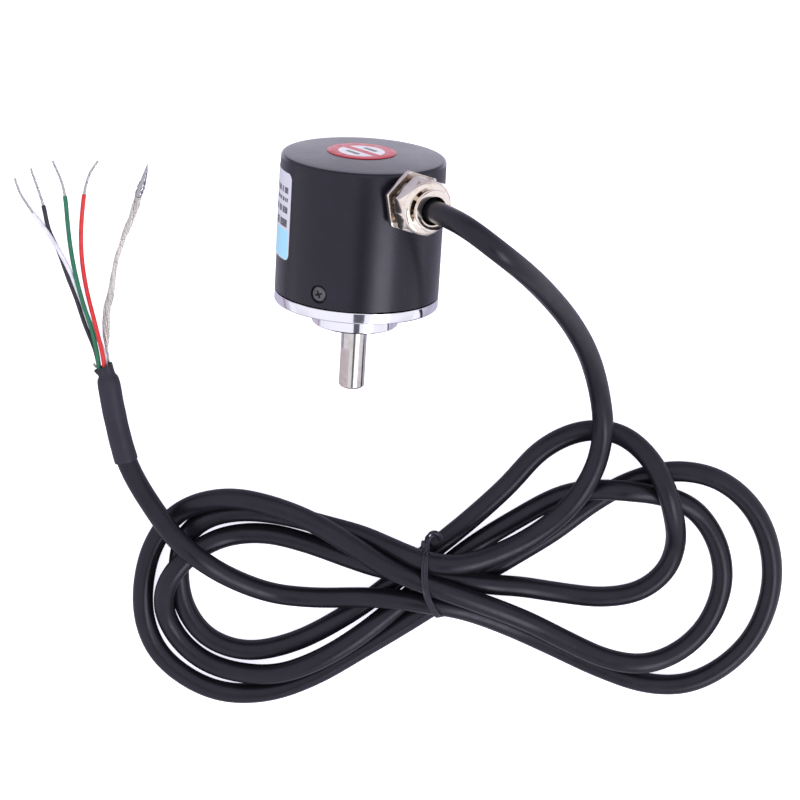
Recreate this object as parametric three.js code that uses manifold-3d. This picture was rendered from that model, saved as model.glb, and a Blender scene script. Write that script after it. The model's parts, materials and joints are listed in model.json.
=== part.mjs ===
// Rotary encoder: a 38 mm optical encoder with a solid 6 mm D shaft, a radial cable gland and a 5 mm cable
// that lies in tied loops and ends in four free wires and a shield pigtail.
// Millimetres, +Z up. The encoder lies on its side on the plane z = 0 with its axis along Y,
// the shaft towards -Y and the closed end of the cover towards +Y.
import * as THREE from "three";
import { mergeVertices } from "three/addons/utils/BufferGeometryUtils.js";
import Module from "manifold-3d";

const wasm = await Module();
wasm.setup();

// ---- driving dimensions ----
const GAP = 0.3; // clearance left between neighbouring solids
const BODY_R = 19;
const BODY_LENGTH = 35;
const BOSS_R = 10;
const BOSS_LENGTH = 5;
const SHAFT_R = 3;
const SHAFT_REACH = 15.5; // beyond the boss
const FLAT_LENGTH = 10;
const FLAT_DEPTH = 0.5;
const RIM_LENGTH = 2.5; // the flange's bright rim
const WALL = 1.5; // cover wall
const END_WALL = 1.0;
const STICKER_T = 0.15;
const ROUND = THREE.MathUtils.degToRad(360);
const FINE = 48; // segments round the housing
const MEDIUM = 24; // round bearings, shaft and gland
const COARSE = 12; // round screws and posts

// Axial stations along Y. FACE is the flange's mounting face, set so that the encoder is centred on y = 0.
const FACE = (BOSS_LENGTH + SHAFT_REACH - BODY_LENGTH) / 2;
const BOSS_FACE = FACE - BOSS_LENGTH;
const SHAFT_TIP = BOSS_FACE - SHAFT_REACH;
const RIM_TOP = FACE + RIM_LENGTH;
const SPIGOT_TOP = FACE + 8;
const COVER_END = FACE + BODY_LENGTH - STICKER_T;
const PCB_Y = FACE + 22;
const PCB_T = 1.6;
const DISC_Y = FACE + 17;
const SHAFT_END = FACE + 19.5;
const GLAND_Y = FACE + 28.8;
const SCREW_Y = RIM_TOP + 3.5;

// Radial stations.
const COVER_IN = BODY_R - WALL;
const SPIGOT_R = COVER_IN - GAP;
const BEARING_R = 6.5;
const BEARING_T = 5;
const FRONT_BEARING = FACE - 2.9; // its front face
const REAR_BEARING = FACE + 5.5;
const BALL_CIRCLE = 4.95;
const BALL_R = 0.9;
const BALLS = 7;
const DISC_R = 12.5;
const PCB_R = 16;
const STANDOFF_CIRCLE = 14.8;
const STANDOFFS = [10, 130, 250];
const COVER_SCREWS = [117, 237, 357];
const GLAND_ANGLE = 57;
const FLAT_ANGLE = 141;

// Gland stations, measured from the encoder's axis outwards along the gland's own axis.
const GLAND_BORE = 2.8;
const GLAND_INNER = 13;
const GLAND_FACE = 29.6;
const GLAND_HEX = 13; // across flats of the body
const CAP_HEX = 12.4; // across flats of the cap

// ---- cord: route of the cable's centre line ----
const CABLE_R = 2.5;
// Out of the gland, up, over and down to the surface, round to the right and back to the tie.
const LEAD = [
  [24, 20.8, 55.6], [30, 17, 57.2], [36.5, 11, 51.5], [43, 3.2, 42], [49.5, -6.3, 31],
  [55, -17, 21], [59, -29.5, 12.6], [60.5, -38.5, 9.3], [59.6, -46.5, 9.8], [56, -54.6, 10.4],
  [49, -63.5, 8.8], [40, -69.6, 9.6], [29, -73, 12.7],
];
// Three turns of a loose figure of eight, through the tie six times.
const LOOPS = [
  [21, -73, 12.9], [13.5, -71.6, 9.8], [5, -70.1, 4.8], [-4, -68.7, 2.8], [-15, -66.5, 2.6],
  [-25, -66.1, 2.6], [-33.5, -68.6, 2.6], [-38.5, -74, 2.6], [-39.6, -82, 2.6], [-37.8, -91.5, 2.6],
  [-32, -99.3, 2.6], [-22.5, -102.4, 2.6], [-11, -99.6, 2.6], [2, -91.6, 2.6], [12, -83, 2.9],
  [21.5, -73.6, 3.3], [30, -65.6, 2.8], [39, -56, 2.6], [47, -46, 2.6], [56, -41, 2.6],
  [65, -41, 3.0], [72, -45, 7.0], [76.5, -51.5, 10.5], [79.4, -59.8, 9.0], [80.8, -68.5, 4.2],
  [79.2, -75.5, 2.6], [73.5, -81, 2.6], [64.5, -83.3, 2.6], [54, -82.7, 2.8], [44, -81, 4.6],
  [35, -79.5, 8.0], [22, -77.4, 8.4], [11, -77.4, 7.2], [2, -76.4, 3.6], [-8, -73.6, 2.6],
  [-19, -71.5, 2.6], [-29, -72.7, 3.6], [-36, -76, 6.9], [-41, -81.6, 8.3], [-42.8, -89, 5.8],
  [-41.3, -96.3, 3.1], [-37.2, -102.2, 2.6], [-31, -106.4, 2.7], [-23, -108, 3.6], [-14, -106.8, 5.8],
  [-4, -101.8, 7.3], [6, -94.9, 6.2], [14.5, -87.8, 3.8], [22, -80.8, 3.2], [31, -72.4, 2.8],
  [42, -64.2, 2.6], [52, -57.7, 3.0], [60, -54.4, 6.4], [68.5, -53.8, 8.0], [77, -55.4, 5.4],
  [85, -59.5, 2.8], [91, -67.5, 2.6], [93.3, -77.5, 2.6], [90.6, -88.6, 2.7], [84.5, -95.4, 4.2],
  [75.5, -98.6, 6.8], [66, -97.6, 7.2], [56.5, -93.7, 7.3], [46.5, -88.8, 8.2], [36, -83.9, 11.3],
  [22, -78.8, 13.3], [11.5, -75.2, 12.6], [2, -70.8, 9.4], [-8, -65.8, 8.0], [-18, -62.5, 7.7],
  [-27, -61.5, 6.8], [-35, -63.8, 4.8], [-41.5, -68.6, 2.8], [-46, -76.2, 2.6], [-48, -86, 2.6],
  [-47.4, -95.8, 2.6], [-43.6, -104.2, 2.6], [-36, -110.6, 2.6], [-27, -113.8, 2.6], [-16, -112.9, 2.6],
  [-5, -108, 2.6], [6, -100.4, 2.6], [14.8, -94, 2.8], [22.5, -88, 3.3], [31, -81.4, 2.9],
  [41, -74.3, 2.6], [51, -67, 2.6], [60, -59, 2.6], [69, -53, 2.6], [79.5, -49.8, 2.6],
  [90, -51.4, 2.6], [98.5, -57.8, 2.6], [103.8, -67.5, 2.6], [105.3, -78.5, 2.6], [102.5, -90.5, 2.6],
  [96, -99.3, 2.6], [87, -104.8, 2.6], [77, -105.4, 2.6], [65, -101.9, 2.6], [53, -96.8, 2.6],
  [42.5, -92.1, 3.6], [34, -88.3, 6.0], [27.5, -86, 8.1],
];
// From the tie across the loops on the left to the sleeve.
const TAIL = [
  [22, -85.2, 8.9], [13, -84.4, 8.6], [4, -85.2, 7.0], [-6, -86.6, 5.0], [-16, -86, 5.2],
  [-25, -82, 8.4], [-32.5, -76.7, 12], [-39.5, -71.2, 12.3], [-45.5, -65, 8.6], [-50.2, -59.6, 4.8],
  [-52.7, -55.6, 3.2],
];
const SLEEVE_R = 2.8;
const SLEEVE = [[-53.1, -54.8, 3.1], [-54.8, -49.3, 2.9], [-56.7, -41.6, 2.9], [-58.6, -33, 2.9]];
const WIRE_R = 0.5;
const BRAID_R = 0.7;
// The free ends, each from the sleeve's mouth to its tip.
const WIRES = {
  white: [[-58.8, -32, 2.4], [-59.4, -28, 1.9], [-62.4, -22.5, 0.8], [-65.9, -14.5, 0.6], [-68, -9.2, 0.9],
    [-70.6, -3.6, 2.5], [-74.1, 1, 0.9], [-77.3, 5, 0.6], [-80.4, 9.6, 0.6], [-81.7, 13, 0.6]],
  black: [[-60.5, -32, 1.6], [-61.6, -28, 1.0], [-64.3, -21.7, 0.6], [-66.6, -15.2, 0.6], [-68.6, -10.4, 0.6],
    [-71.1, -3.8, 0.6], [-73.4, 1, 0.6], [-74.9, 7, 0.6], [-78, 15.6, 0.6]],
  green: [[-60.3, -32, 3.1], [-61, -28, 2.8], [-62.4, -22.8, 2.2], [-64.6, -16.6, 1.9], [-66.6, -10, 1.4],
    [-68.2, -2.8, 0.8], [-69, 2.7, 0.6], [-69.8, 9.3, 0.6], [-70.6, 12.6, 0.6], [-72.9, 17.7, 0.6]],
  red: [[-58.9, -32, 3.8], [-59.7, -27.8, 3.3], [-61.7, -20.9, 2.4], [-64.1, -12.7, 1.2], [-65.4, -5.7, 0.6],
    [-65.8, 1, 0.6], [-65.3, 10.2, 0.6], [-64.9, 12.6, 0.6], [-64, 15.5, 0.6], [-62.3, 18.3, 0.6]],
};
const BRAID = [[-57.8, -32, 1.1], [-58.3, -27.6, 1.0], [-58.8, -24.2, 0.9], [-58.9, -19.3, 0.8],
  [-58.2, -12.4, 0.8], [-56.9, -4.4, 0.8], [-54.9, 2.4, 0.8], [-52.6, 10.3, 0.8], [-50.5, 18.2, 0.8]];
const TIE_X = 22; // the twist tie's place across the bundle
const TIE_Y = -80.3;

// ---- geometry helpers ----
function manifoldOf(geometry) {
  const bare = geometry.index ? geometry.toNonIndexed() : geometry.clone();
  bare.deleteAttribute("normal");
  bare.deleteAttribute("uv");
  const merged = mergeVertices(bare, 1e-4);
  return new wasm.Manifold(
    new wasm.Mesh({
      numProp: 3,
      vertProperties: new Float32Array(merged.attributes.position.array),
      triVerts: new Uint32Array(merged.index.array),
    }),
  );
}

function geometryOf(manifold) {
  const mesh = manifold.getMesh();
  const geometry = new THREE.BufferGeometry();
  geometry.setAttribute("position", new THREE.BufferAttribute(new Float32Array(mesh.vertProperties), 3));
  geometry.setIndex(new THREE.BufferAttribute(new Uint32Array(mesh.triVerts), 1));
  geometry.computeVertexNormals();
  return geometry;
}

// Cuts every tool out of a geometry.
function cut(geometry, tools) {
  return geometryOf(tools.reduce((left, tool) => left.subtract(manifoldOf(tool)), manifoldOf(geometry)));
}

function join(geometries) {
  return geometryOf(geometries.map(manifoldOf).reduce((sum, next) => sum.add(next)));
}

// A solid of revolution about Y from a closed list of [radius, y].
function turned(profile, segments = MEDIUM) {
  const points = profile.map(([r, y]) => new THREE.Vector2(r, y));
  const onAxis = profile[0][0] === 0 && profile[profile.length - 1][0] === 0;
  if (!onAxis) points.push(points[0].clone());
  const area = points.reduce((sum, p, i) => {
    const q = points[(i + 1) % points.length];
    return sum + p.x * q.y - q.x * p.y;
  }, 0);
  return new THREE.LatheGeometry(area > 0 ? points : points.reverse(), segments);
}

function ring(inner, outer, y0, y1, segments = MEDIUM) {
  return turned([[inner, y0], [outer, y0], [outer, y1], [inner, y1]], segments);
}

function disc(radius, y0, y1, segments = MEDIUM) {
  return turned([[0, y0], [radius, y0], [radius, y1], [0, y1]], segments);
}

// A hexagonal prism about Y with a flat across `across`.
function hexPrism(across, y0, y1) {
  return new THREE.CylinderGeometry(across / Math.sqrt(3), across / Math.sqrt(3), y1 - y0, 6)
    .translate(0, (y0 + y1) / 2, 0);
}

// A tool whose own +Y points radially outwards at `degrees` round the encoder's axis, at station y.
function radial(geometry, degrees, y) {
  return geometry.rotateZ(-ROUND / 4).rotateY(-THREE.MathUtils.degToRad(degrees)).translate(0, y, 0);
}

// A point on a circle round the encoder's axis: [x, z].
function polar(radius, degrees) {
  const a = THREE.MathUtils.degToRad(degrees);
  return [radius * Math.cos(a), radius * Math.sin(a)];
}

function vectors(points) {
  return points.map((p) => new THREE.Vector3(...p));
}

function polygon(radius, sides) {
  const shape = new THREE.Shape();
  for (let i = 0; i < sides; i++) {
    const a = (i / sides) * ROUND;
    if (i === 0) shape.moveTo(radius, 0);
    else shape.lineTo(radius * Math.cos(a), radius * Math.sin(a));
  }
  shape.closePath();
  return shape;
}

function smooth(points) {
  return new THREE.CatmullRomCurve3(vectors(points), false, "centripetal");
}

// A round cord of the given radius along a curve.
function cord(path, radius, steps, sides = 8) {
  return new THREE.ExtrudeGeometry(polygon(radius, sides), { steps, extrudePath: path, bevelEnabled: false });
}

// The part of a longer curve between two distances along it.
class Stretch extends THREE.Curve {
  constructor(whole, from, to) {
    super();
    Object.assign(this, { whole, from: from / whole.getLength(), to: to / whole.getLength() });
  }

  getPoint(t, target = new THREE.Vector3()) {
    return this.whole.getPointAt(this.from + (this.to - this.from) * t, target);
  }
}

// ---- materials ----
const finish = (color, roughness, metalness) => new THREE.MeshStandardMaterial({ color, roughness, metalness });
const BLACK_PAINT = finish(0x2b2b2f, 0.5, 0.3);
const ALUMINIUM = finish(0xd9dbe0, 0.28, 1);
const STAINLESS = finish(0xc2bfbb, 0.32, 1);
const STEEL = finish(0xa9abb0, 0.3, 1);
const BLACK_STEEL = finish(0x1c1c1f, 0.4, 0.8);
const NICKEL = finish(0xd6cfc4, 0.22, 1);
const BRASS = finish(0xc9a54c, 0.35, 1);
const RUBBER = finish(0x17171a, 0.7, 0);
const PVC = finish(0x1b1b20, 0.55, 0);
const BOARD = finish(0x1f5a37, 0.6, 0);
const EPOXY = finish(0x141416, 0.5, 0);
const NYLON = finish(0xe9e4d6, 0.6, 0);
const GLASS = finish(0xbfd4d8, 0.1, 0);
const PAPER = finish(0xf2f4f6, 0.5, 0);
const RED_FILM = finish(0xd8404c, 0.4, 0);
const CLEAR_EPOXY = finish(0xdfe7ee, 0.2, 0);
const WIRE_COLOURS = { white: 0xe9e9ea, black: 0x18181a, green: 0x1d8a4e, red: 0xd02a2c };

const encoder = new THREE.Group();
encoder.position.z = BODY_R;
const loose = new THREE.Group();
const model = new THREE.Group();
model.add(encoder, loose);

function add(group, name, geometry, material) {
  const mesh = new THREE.Mesh(geometry, material);
  mesh.name = name;
  group.add(mesh);
  return mesh;
}

// ---- housing ----
function flangeBase() {
  const c = 0.4;
  const body = turned([
    [4, BOSS_FACE], [BOSS_R - c, BOSS_FACE], [BOSS_R, BOSS_FACE + c], [BOSS_R, FACE], [BODY_R - c, FACE],
    [BODY_R, FACE + c], [BODY_R, RIM_TOP], [SPIGOT_R, RIM_TOP], [SPIGOT_R, RIM_TOP + 0.8],
    [SPIGOT_R - 1.4, RIM_TOP + 0.8], [SPIGOT_R - 1.4, RIM_TOP + 2.2], [SPIGOT_R, RIM_TOP + 2.2],
    [SPIGOT_R, SPIGOT_TOP], [9, SPIGOT_TOP], [9, FACE + 12], [BEARING_R + GAP, FACE + 12],
    [BEARING_R + GAP, BOSS_FACE + 1], [4, BOSS_FACE + 1],
  ], FINE);
  const tapped = [];
  for (let i = 0; i < 3; i++) {
    for (const [circle, angle] of [[14, 30], [15, 90]]) {
      const [x, z] = polar(circle, angle + 120 * i);
      tapped.push(new THREE.CylinderGeometry(1.25, 1.25, 8, COARSE).translate(x, FACE + 3, z));
    }
  }
  const radialHoles = COVER_SCREWS.map((a) =>
    radial(new THREE.CylinderGeometry(1.5, 1.5, 5, COARSE).translate(0, SPIGOT_R - 1, 0), a, SCREW_Y));
  return cut(body, [...tapped, ...radialHoles]);
}

function cover() {
  const rim = RIM_TOP + GAP;
  const r = 1.3;
  const edge = [];
  for (let i = 0; i <= 4; i++) {
    const a = (i / 4) * (ROUND / 4);
    edge.push([BODY_R - r + r * Math.cos(a), COVER_END - r + r * Math.sin(a)]);
  }
  const cup = turned([
    [0, COVER_END - END_WALL], [COVER_IN - 0.5, COVER_END - END_WALL], [COVER_IN, COVER_END - END_WALL - 0.5],
    [COVER_IN, rim], [BODY_R, rim], ...edge, [0, COVER_END],
  ], FINE);
  const cuts = COVER_SCREWS.flatMap((a) => [
    radial(new THREE.CylinderGeometry(1.5, 1.5, 4, COARSE).translate(0, BODY_R - 1, 0), a, SCREW_Y),
    radial(new THREE.CylinderGeometry(2.0, 2.0, 2, COARSE).translate(0, BODY_R, 0), a, SCREW_Y),
  ]);
  const glandHole = new THREE.CylinderGeometry(4.2, 4.2, 6, MEDIUM).translate(0, BODY_R - 1, 0);
  cuts.push(radial(glandHole, GLAND_ANGLE, GLAND_Y));
  return cut(cup, cuts);
}

// A pan-head screw with a cross recess, axis along Y, underside of the head at y = 0.
function panScrew(headR, headT, shankR, shankLength) {
  const screw = turned([
    [0, -shankLength], [shankR * 0.7, -shankLength], [shankR, -shankLength + 0.4], [shankR, 0],
    [headR, 0], [headR, headT * 0.45], [headR * 0.7, headT], [0, headT],
  ], COARSE);
  const slots = [[1, 0.26], [0.26, 1]].map(([a, b]) =>
    new THREE.BoxGeometry(headR * 1.25 * a, headT, headR * 1.25 * b).translate(0, headT * 0.98, 0));
  return cut(screw, slots);
}

function housing() {
  add(encoder, "flange_base", flangeBase(), ALUMINIUM);
  add(encoder, "cover", cover(), BLACK_PAINT);
  COVER_SCREWS.forEach((a, i) => {
    const screw = panScrew(1.65, 0.85, 1.2, 4.2).translate(0, BODY_R - 0.95, 0);
    add(encoder, `cover_screw_${i + 1}`, radial(screw, a, SCREW_Y), BLACK_STEEL);
  });
  const seal = [];
  for (let i = 0; i < 6; i++) {
    const a = (i / 6) * ROUND;
    seal.push([SPIGOT_R - 0.55 + 0.5 * Math.cos(a), RIM_TOP + 1.5 + 0.5 * Math.sin(a)]);
  }
  add(encoder, "cover_seal", turned(seal), RUBBER);
}

// ---- shaft and bearings ----
function shaft() {
  const c = 0.5;
  const clip = FACE + 10.8;
  const body = turned([
    [0, SHAFT_TIP], [SHAFT_R - c, SHAFT_TIP], [SHAFT_R, SHAFT_TIP + c], [SHAFT_R, FRONT_BEARING - 0.9],
    [3.6, FRONT_BEARING - 0.9], [3.6, FRONT_BEARING - GAP], [SHAFT_R, FRONT_BEARING - GAP], [SHAFT_R, clip - GAP],
    [2.6, clip - GAP], [2.6, clip + 1], [SHAFT_R, clip + 1], [SHAFT_R, SHAFT_END], [0, SHAFT_END],
  ]);
  const flat = new THREE.BoxGeometry(2, FLAT_LENGTH + 1, 8)
    .translate(SHAFT_R - FLAT_DEPTH + 1, SHAFT_TIP + (FLAT_LENGTH - 1) / 2, 0)
    .rotateY(-THREE.MathUtils.degToRad(FLAT_ANGLE));
  return cut(body, [flat]);
}

// Half a race: the groove's arc from one shoulder to the other, as [radius, y].
function groove(middle, depth, half, y) {
  const points = [];
  for (let i = 0; i <= 2; i++) {
    const t = (i - 1) * 0.8;
    points.push([middle - depth * Math.sqrt(Math.max(0, 1 - t * t)), y + half * t]);
  }
  return points;
}

function bearing(name, front) {
  const middle = front + BEARING_T / 2;
  const back = front + BEARING_T;
  const inner = [[SHAFT_R + GAP, front], [4.3, front], ...groove(4.3, 0.55, 1.15, middle), [4.3, back],
    [SHAFT_R + GAP, back]];
  const outer = [[5.6, front], [BEARING_R, front], [BEARING_R, back], [5.6, back],
    ...groove(5.6, -0.55, 1.15, middle).reverse()];
  add(encoder, `${name}_inner_ring`, turned(inner), STEEL);
  add(encoder, `${name}_outer_ring`, turned(outer), STEEL);
  const pieces = [ring(4.7, 5.2, middle - 0.45, middle + 0.45)];
  for (let i = 0; i < BALLS; i++) {
    const [x, z] = polar(BALL_CIRCLE, (360 / BALLS) * i);
    pieces.push(new THREE.SphereGeometry(BALL_R, 8, 5).translate(x, middle, z));
  }
  add(encoder, `${name}_balls_and_cage`, join(pieces), STEEL);
}

// An open ring about Y: a gap of `degrees` is cut from it at the side of +X.
function splitRing(inner, outer, y0, y1, degrees) {
  const reach = outer * 2;
  const wedge = new THREE.Shape();
  const half = THREE.MathUtils.degToRad(degrees / 2);
  wedge.moveTo(0, 0);
  wedge.lineTo(reach * Math.cos(half), reach * Math.sin(half));
  wedge.lineTo(reach * Math.cos(half), -reach * Math.sin(half));
  wedge.closePath();
  const tool = new THREE.ExtrudeGeometry(wedge, { depth: 4, bevelEnabled: false })
    .rotateX(THREE.MathUtils.degToRad(-90))
    .translate(0, y0 - 1, 0);
  return cut(ring(inner, outer, y0, y1), [tool]);
}

function rotor() {
  add(encoder, "shaft", shaft(), STAINLESS);
  bearing("front_bearing", FRONT_BEARING);
  bearing("rear_bearing", REAR_BEARING);
  add(encoder, "preload_washer", ring(4.8, 6.3, FRONT_BEARING - 0.8, FRONT_BEARING - GAP), STEEL);
  const spacerEnd = REAR_BEARING - GAP;
  add(encoder, "inner_spacer", ring(SHAFT_R + GAP, 4.1, FRONT_BEARING + BEARING_T + GAP, spacerEnd), STEEL);
  add(encoder, "shaft_retaining_ring", splitRing(2.9, 4.4, FACE + 10.8, FACE + 11.5, 60), BLACK_STEEL);

  const hub = turned([
    [SHAFT_R + GAP, FACE + 12.3], [5.6, FACE + 12.3], [5.6, DISC_Y - 1.3], [8, DISC_Y - 1.3], [8, DISC_Y - GAP],
    [SHAFT_R + GAP, DISC_Y - GAP],
  ]);
  const hole = new THREE.CylinderGeometry(1.2, 1.2, 6, 12).rotateZ(ROUND / 4).translate(5.4, FACE + 13.9, 0);
  add(encoder, "disc_hub", cut(hub, [hole]), BRASS);
  const socket = new THREE.CylinderGeometry(0.45, 0.45, 1.4, 6).translate(0, 2.2, 0);
  const setScrew = cut(disc(0.9, 0, 2.2, COARSE), [socket]);
  add(encoder, "hub_set_screw", radial(setScrew.translate(0, SHAFT_R + GAP, 0), 0, FACE + 13.9), BLACK_STEEL);
  add(encoder, "code_disc", ring(SHAFT_R + GAP, DISC_R, DISC_Y, DISC_Y + 0.6, FINE), GLASS);
  add(encoder, "disc_clamp_ring", ring(SHAFT_R + GAP, 6, DISC_Y + 0.9, DISC_Y + 1.9), BRASS);
}

// ---- optics and electronics ----
function box(w, h, d, x, y, z) {
  return new THREE.BoxGeometry(w, h, d).translate(x, y, z);
}

function electronics() {
  const below = -9.6; // the optics sit on this level under the axis
  const holder = cut(box(6, 6.4, 5.2, 0, SPIGOT_TOP + GAP + 3.2, below - 2.2), [
    new THREE.CylinderGeometry(1.8, 1.8, 5, COARSE).translate(0, SPIGOT_TOP + 6, below - 1.6),
  ]);
  add(encoder, "led_holder", holder, EPOXY);
  const led = turned([
    [0, 0], [1.5, 0], [1.5, 1.4], [1.3, 2.1], [0.75, 2.75], [0, 3],
  ], COARSE).translate(0, SPIGOT_TOP + 4, below - 1.6);
  add(encoder, "emitter_led", led, CLEAR_EPOXY);
  add(encoder, "reticle", box(5, 0.5, 4, 0, DISC_Y + 1.3, below - 0.6), GLASS);
  add(encoder, "reticle_holder", cut(box(6, 2.2, 6, 0, DISC_Y + 3.05, below - 0.6), [
    box(4.6, 4, 3, 0, DISC_Y + 3, below - 0.6),
  ]), EPOXY);
  add(encoder, "photodetector", box(4, 1, 2.4, 0, PCB_Y - GAP - 0.5, below - 0.6), EPOXY);

  const holes = STANDOFFS.map((a) => {
    const [x, z] = polar(STANDOFF_CIRCLE, a);
    return new THREE.CylinderGeometry(1.3, 1.3, 4, COARSE).translate(x, PCB_Y, z);
  });
  add(encoder, "circuit_board", cut(disc(PCB_R, PCB_Y, PCB_Y + PCB_T, FINE), holes), BOARD);
  STANDOFFS.forEach((a, i) => {
    const [x, z] = polar(STANDOFF_CIRCLE, a);
    const top = PCB_Y - GAP;
    const post = cut(disc(1.7, SPIGOT_TOP + GAP, top, COARSE), [
      new THREE.CylinderGeometry(1.25, 1.25, 8, COARSE).translate(0, top, 0),
    ]);
    add(encoder, `board_standoff_${i + 1}`, post.translate(x, 0, z), BRASS);
    const screw = panScrew(1.75, 1.2, 0.95, 4.5).translate(x, PCB_Y + PCB_T + GAP, z);
    add(encoder, `board_screw_${i + 1}`, screw, STEEL);
  });

  const top = PCB_Y + PCB_T + GAP;
  add(encoder, "line_driver_ic", box(9.9, 1.5, 3.9, -3, top + 0.75, 1), EPOXY);
  add(encoder, "comparator_ic", box(4.9, 1.5, 3.9, -4, top + 0.75, -6.5), EPOXY);
  add(encoder, "capacitor_1", box(3.2, 1.4, 1.6, 5, top + 0.7, -5), NYLON);
  add(encoder, "capacitor_2", box(3.2, 1.4, 1.6, 5, top + 0.7, -8), NYLON);
  const header = cut(box(9, 4.4, 3.4, -4, top + 2.2, 8), [box(7.8, 4, 2.2, -4, top + 3.4, 8)]);
  add(encoder, "board_header", header, NYLON);
  add(encoder, "lead_plug", box(7.2, 3, 1.6, -4, top + 3.2, 8), NYLON);
  // The cable's inner end: a bundle of leads from the plug to the cable inside the gland.
  const [gx, gz] = polar(13.4, GLAND_ANGLE);
  const leads = [
    [-4, top + 6.1, 8], [-2.6, top + 6.9, 8.3], [0.8, GLAND_Y + 0.6, 8.6], [4, GLAND_Y, 8.6], [gx, GLAND_Y, gz],
  ];
  add(encoder, "inner_leads", cord(smooth(leads), 0.9, 12, 6), PVC);
}

// ---- cable gland: made about its own +Y, then turned to point outwards ----
function glandBody() {
  const shell = turned([
    [GLAND_BORE, GLAND_INNER], [3.9, GLAND_INNER], [3.9, 20.4], [5.4, 20.4], [5.4, 22.8], [4.7, 22.8],
    [4.7, 23.4], [4.2, 23.4], [4.2, 26.5], [3.6, 26.5], [3.6, 23.6], [GLAND_BORE, 23.6],
  ]);
  const bore = new THREE.CylinderGeometry(5, 5, 8, MEDIUM).translate(0, 21, 0);
  const hex = cut(hexPrism(GLAND_HEX, 20.4, 22.8), [bore]);
  return join([shell, hex]);
}

function glandCap() {
  const outline = turned([
    [0, 23.7], [6.6, 23.7], [7.1, 24.2], [7.1, 26.7], [6.1, 27.6], [5.1, 27.9], [4.4, 28.0], [4.4, 28.4],
    [4.75, 28.6], [4.75, 29.3], [4.45, GLAND_FACE], [0, GLAND_FACE],
  ]);
  const prism = manifoldOf(hexPrism(CAP_HEX, 20, 40)).intersect(manifoldOf(outline));
  const bore = turned([[0, 20], [4.5, 20], [4.5, 26.8], [3.2, 27.4], [3.2, 40], [0, 40]]);
  return cut(geometryOf(prism), [bore]);
}

function gland() {
  const place = (geometry) => radial(geometry, GLAND_ANGLE, GLAND_Y);
  add(encoder, "gland_body", place(glandBody()), NICKEL);
  add(encoder, "gland_cap", place(glandCap()), NICKEL);
  add(encoder, "gland_gasket", place(ring(4.2, 5.6, 19.3, 20.1)), RUBBER);
  add(encoder, "gland_seal", place(ring(2.8, 3.3, 23.9, 26.2)), RUBBER);
  const thread = new THREE.CylinderGeometry(4.15, 4.15, 8, MEDIUM).translate(0, 15, 0);
  const nut = cut(hexPrism(8.6, 14, 16.3).rotateY(ROUND / 12), [thread]);
  add(encoder, "gland_lock_nut", place(nut), NICKEL);
}

// ---- labels: thin blank stickers ----
function labels() {
  const from = 147;
  const to = 222;
  const inner = BODY_R + 0.03;
  const outer = BODY_R + 0.13;
  const shape = new THREE.Shape();
  const arc = (radius, a, b) => {
    const points = [];
    for (let i = 0; i <= 14; i++) points.push(polar(radius, a + ((b - a) * i) / 14));
    return points;
  };
  [...arc(outer, from, to), ...arc(inner, to, from)].forEach(([x, z], i) => {
    if (i === 0) shape.moveTo(x, -z);
    else shape.lineTo(x, -z);
  });
  shape.closePath();
  const label = new THREE.ExtrudeGeometry(shape, { depth: 20.3, bevelEnabled: false })
    .rotateX(-ROUND / 4)
    .translate(0, FACE + 11.5, 0);
  add(encoder, "side_label", label, PAPER);
  const sticker = disc(8, COVER_END + 0.03, COVER_END + STICKER_T).translate(-0.6, 0, -3.6);
  add(encoder, "end_sticker", sticker, RED_FILM);
}

// ---- cable, its loops and its free end ----
function cable() {
  const [ex, ez] = polar(1, GLAND_ANGLE);
  const along = (r) => [ex * r, GLAND_Y, BODY_R + ez * r];
  const inGland = [along(15), along(22), along(GLAND_FACE), along(GLAND_FACE + 6.4)];
  const points = [...inGland, ...LEAD, ...LOOPS, ...TAIL];
  const route = smooth(points);
  const perPoint = 20;
  route.arcLengthDivisions = (points.length - 1) * perPoint;
  const lengths = route.getLengths();
  const firstTie = lengths[(inGland.length + LEAD.length) * perPoint];
  const lastTie = lengths[(inGland.length + LEAD.length + LOOPS.length) * perPoint];
  const stretch = (from, to, steps) => cord(new Stretch(route, from, to), CABLE_R, steps);
  add(loose, "cable_lead", stretch(0, firstTie - GAP, 18), PVC);
  add(loose, "cable_loops", stretch(firstTie, lastTie - GAP, 66), PVC);
  add(loose, "cable_tail", stretch(lastTie, route.getLength(), 9), PVC);
  add(loose, "end_sleeve", cord(smooth(SLEEVE), SLEEVE_R, 5), RUBBER);
  for (const [name, wire] of Object.entries(WIRES)) {
    add(loose, `wire_${name}`, cord(smooth(wire), WIRE_R, 12, 6), finish(WIRE_COLOURS[name], 0.45, 0));
  }
  add(loose, "shield_pigtail", cord(smooth(BRAID), BRAID_R, 9, 6), NICKEL);
}

// A flat plastic-coated wire bent round the seven strands: a closed band in a plane across the bundle.
function twistTie() {
  const outline = (grow) => [
    [-10.7 - grow, 0.5 - grow], [11 + grow, 0.5 - grow], [11.4 + grow, 13.3], [9.4 + grow * 0.6, 16.1 + grow],
    [1, 16.6 + grow], [-1.5 - grow * 0.5, 16 + grow * 0.8], [-8.6 - grow * 0.8, 10.6 + grow * 0.6],
    [-11 - grow, 4.8],
  ];
  const draw = (shape, points) => {
    points.forEach(([x, y], i) => (i === 0 ? shape.moveTo(x, y) : shape.lineTo(x, y)));
    shape.closePath();
    return shape;
  };
  const band = draw(new THREE.Shape(), outline(0.45));
  band.holes.push(draw(new THREE.Path(), outline(0).reverse()));
  return new THREE.ExtrudeGeometry(band, { depth: 1.4, bevelEnabled: false })
    .translate(0, 0, -0.7)
    .rotateX(ROUND / 4)
    .rotateZ(THREE.MathUtils.degToRad(102))
    .translate(TIE_X, TIE_Y, 0);
}

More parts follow.
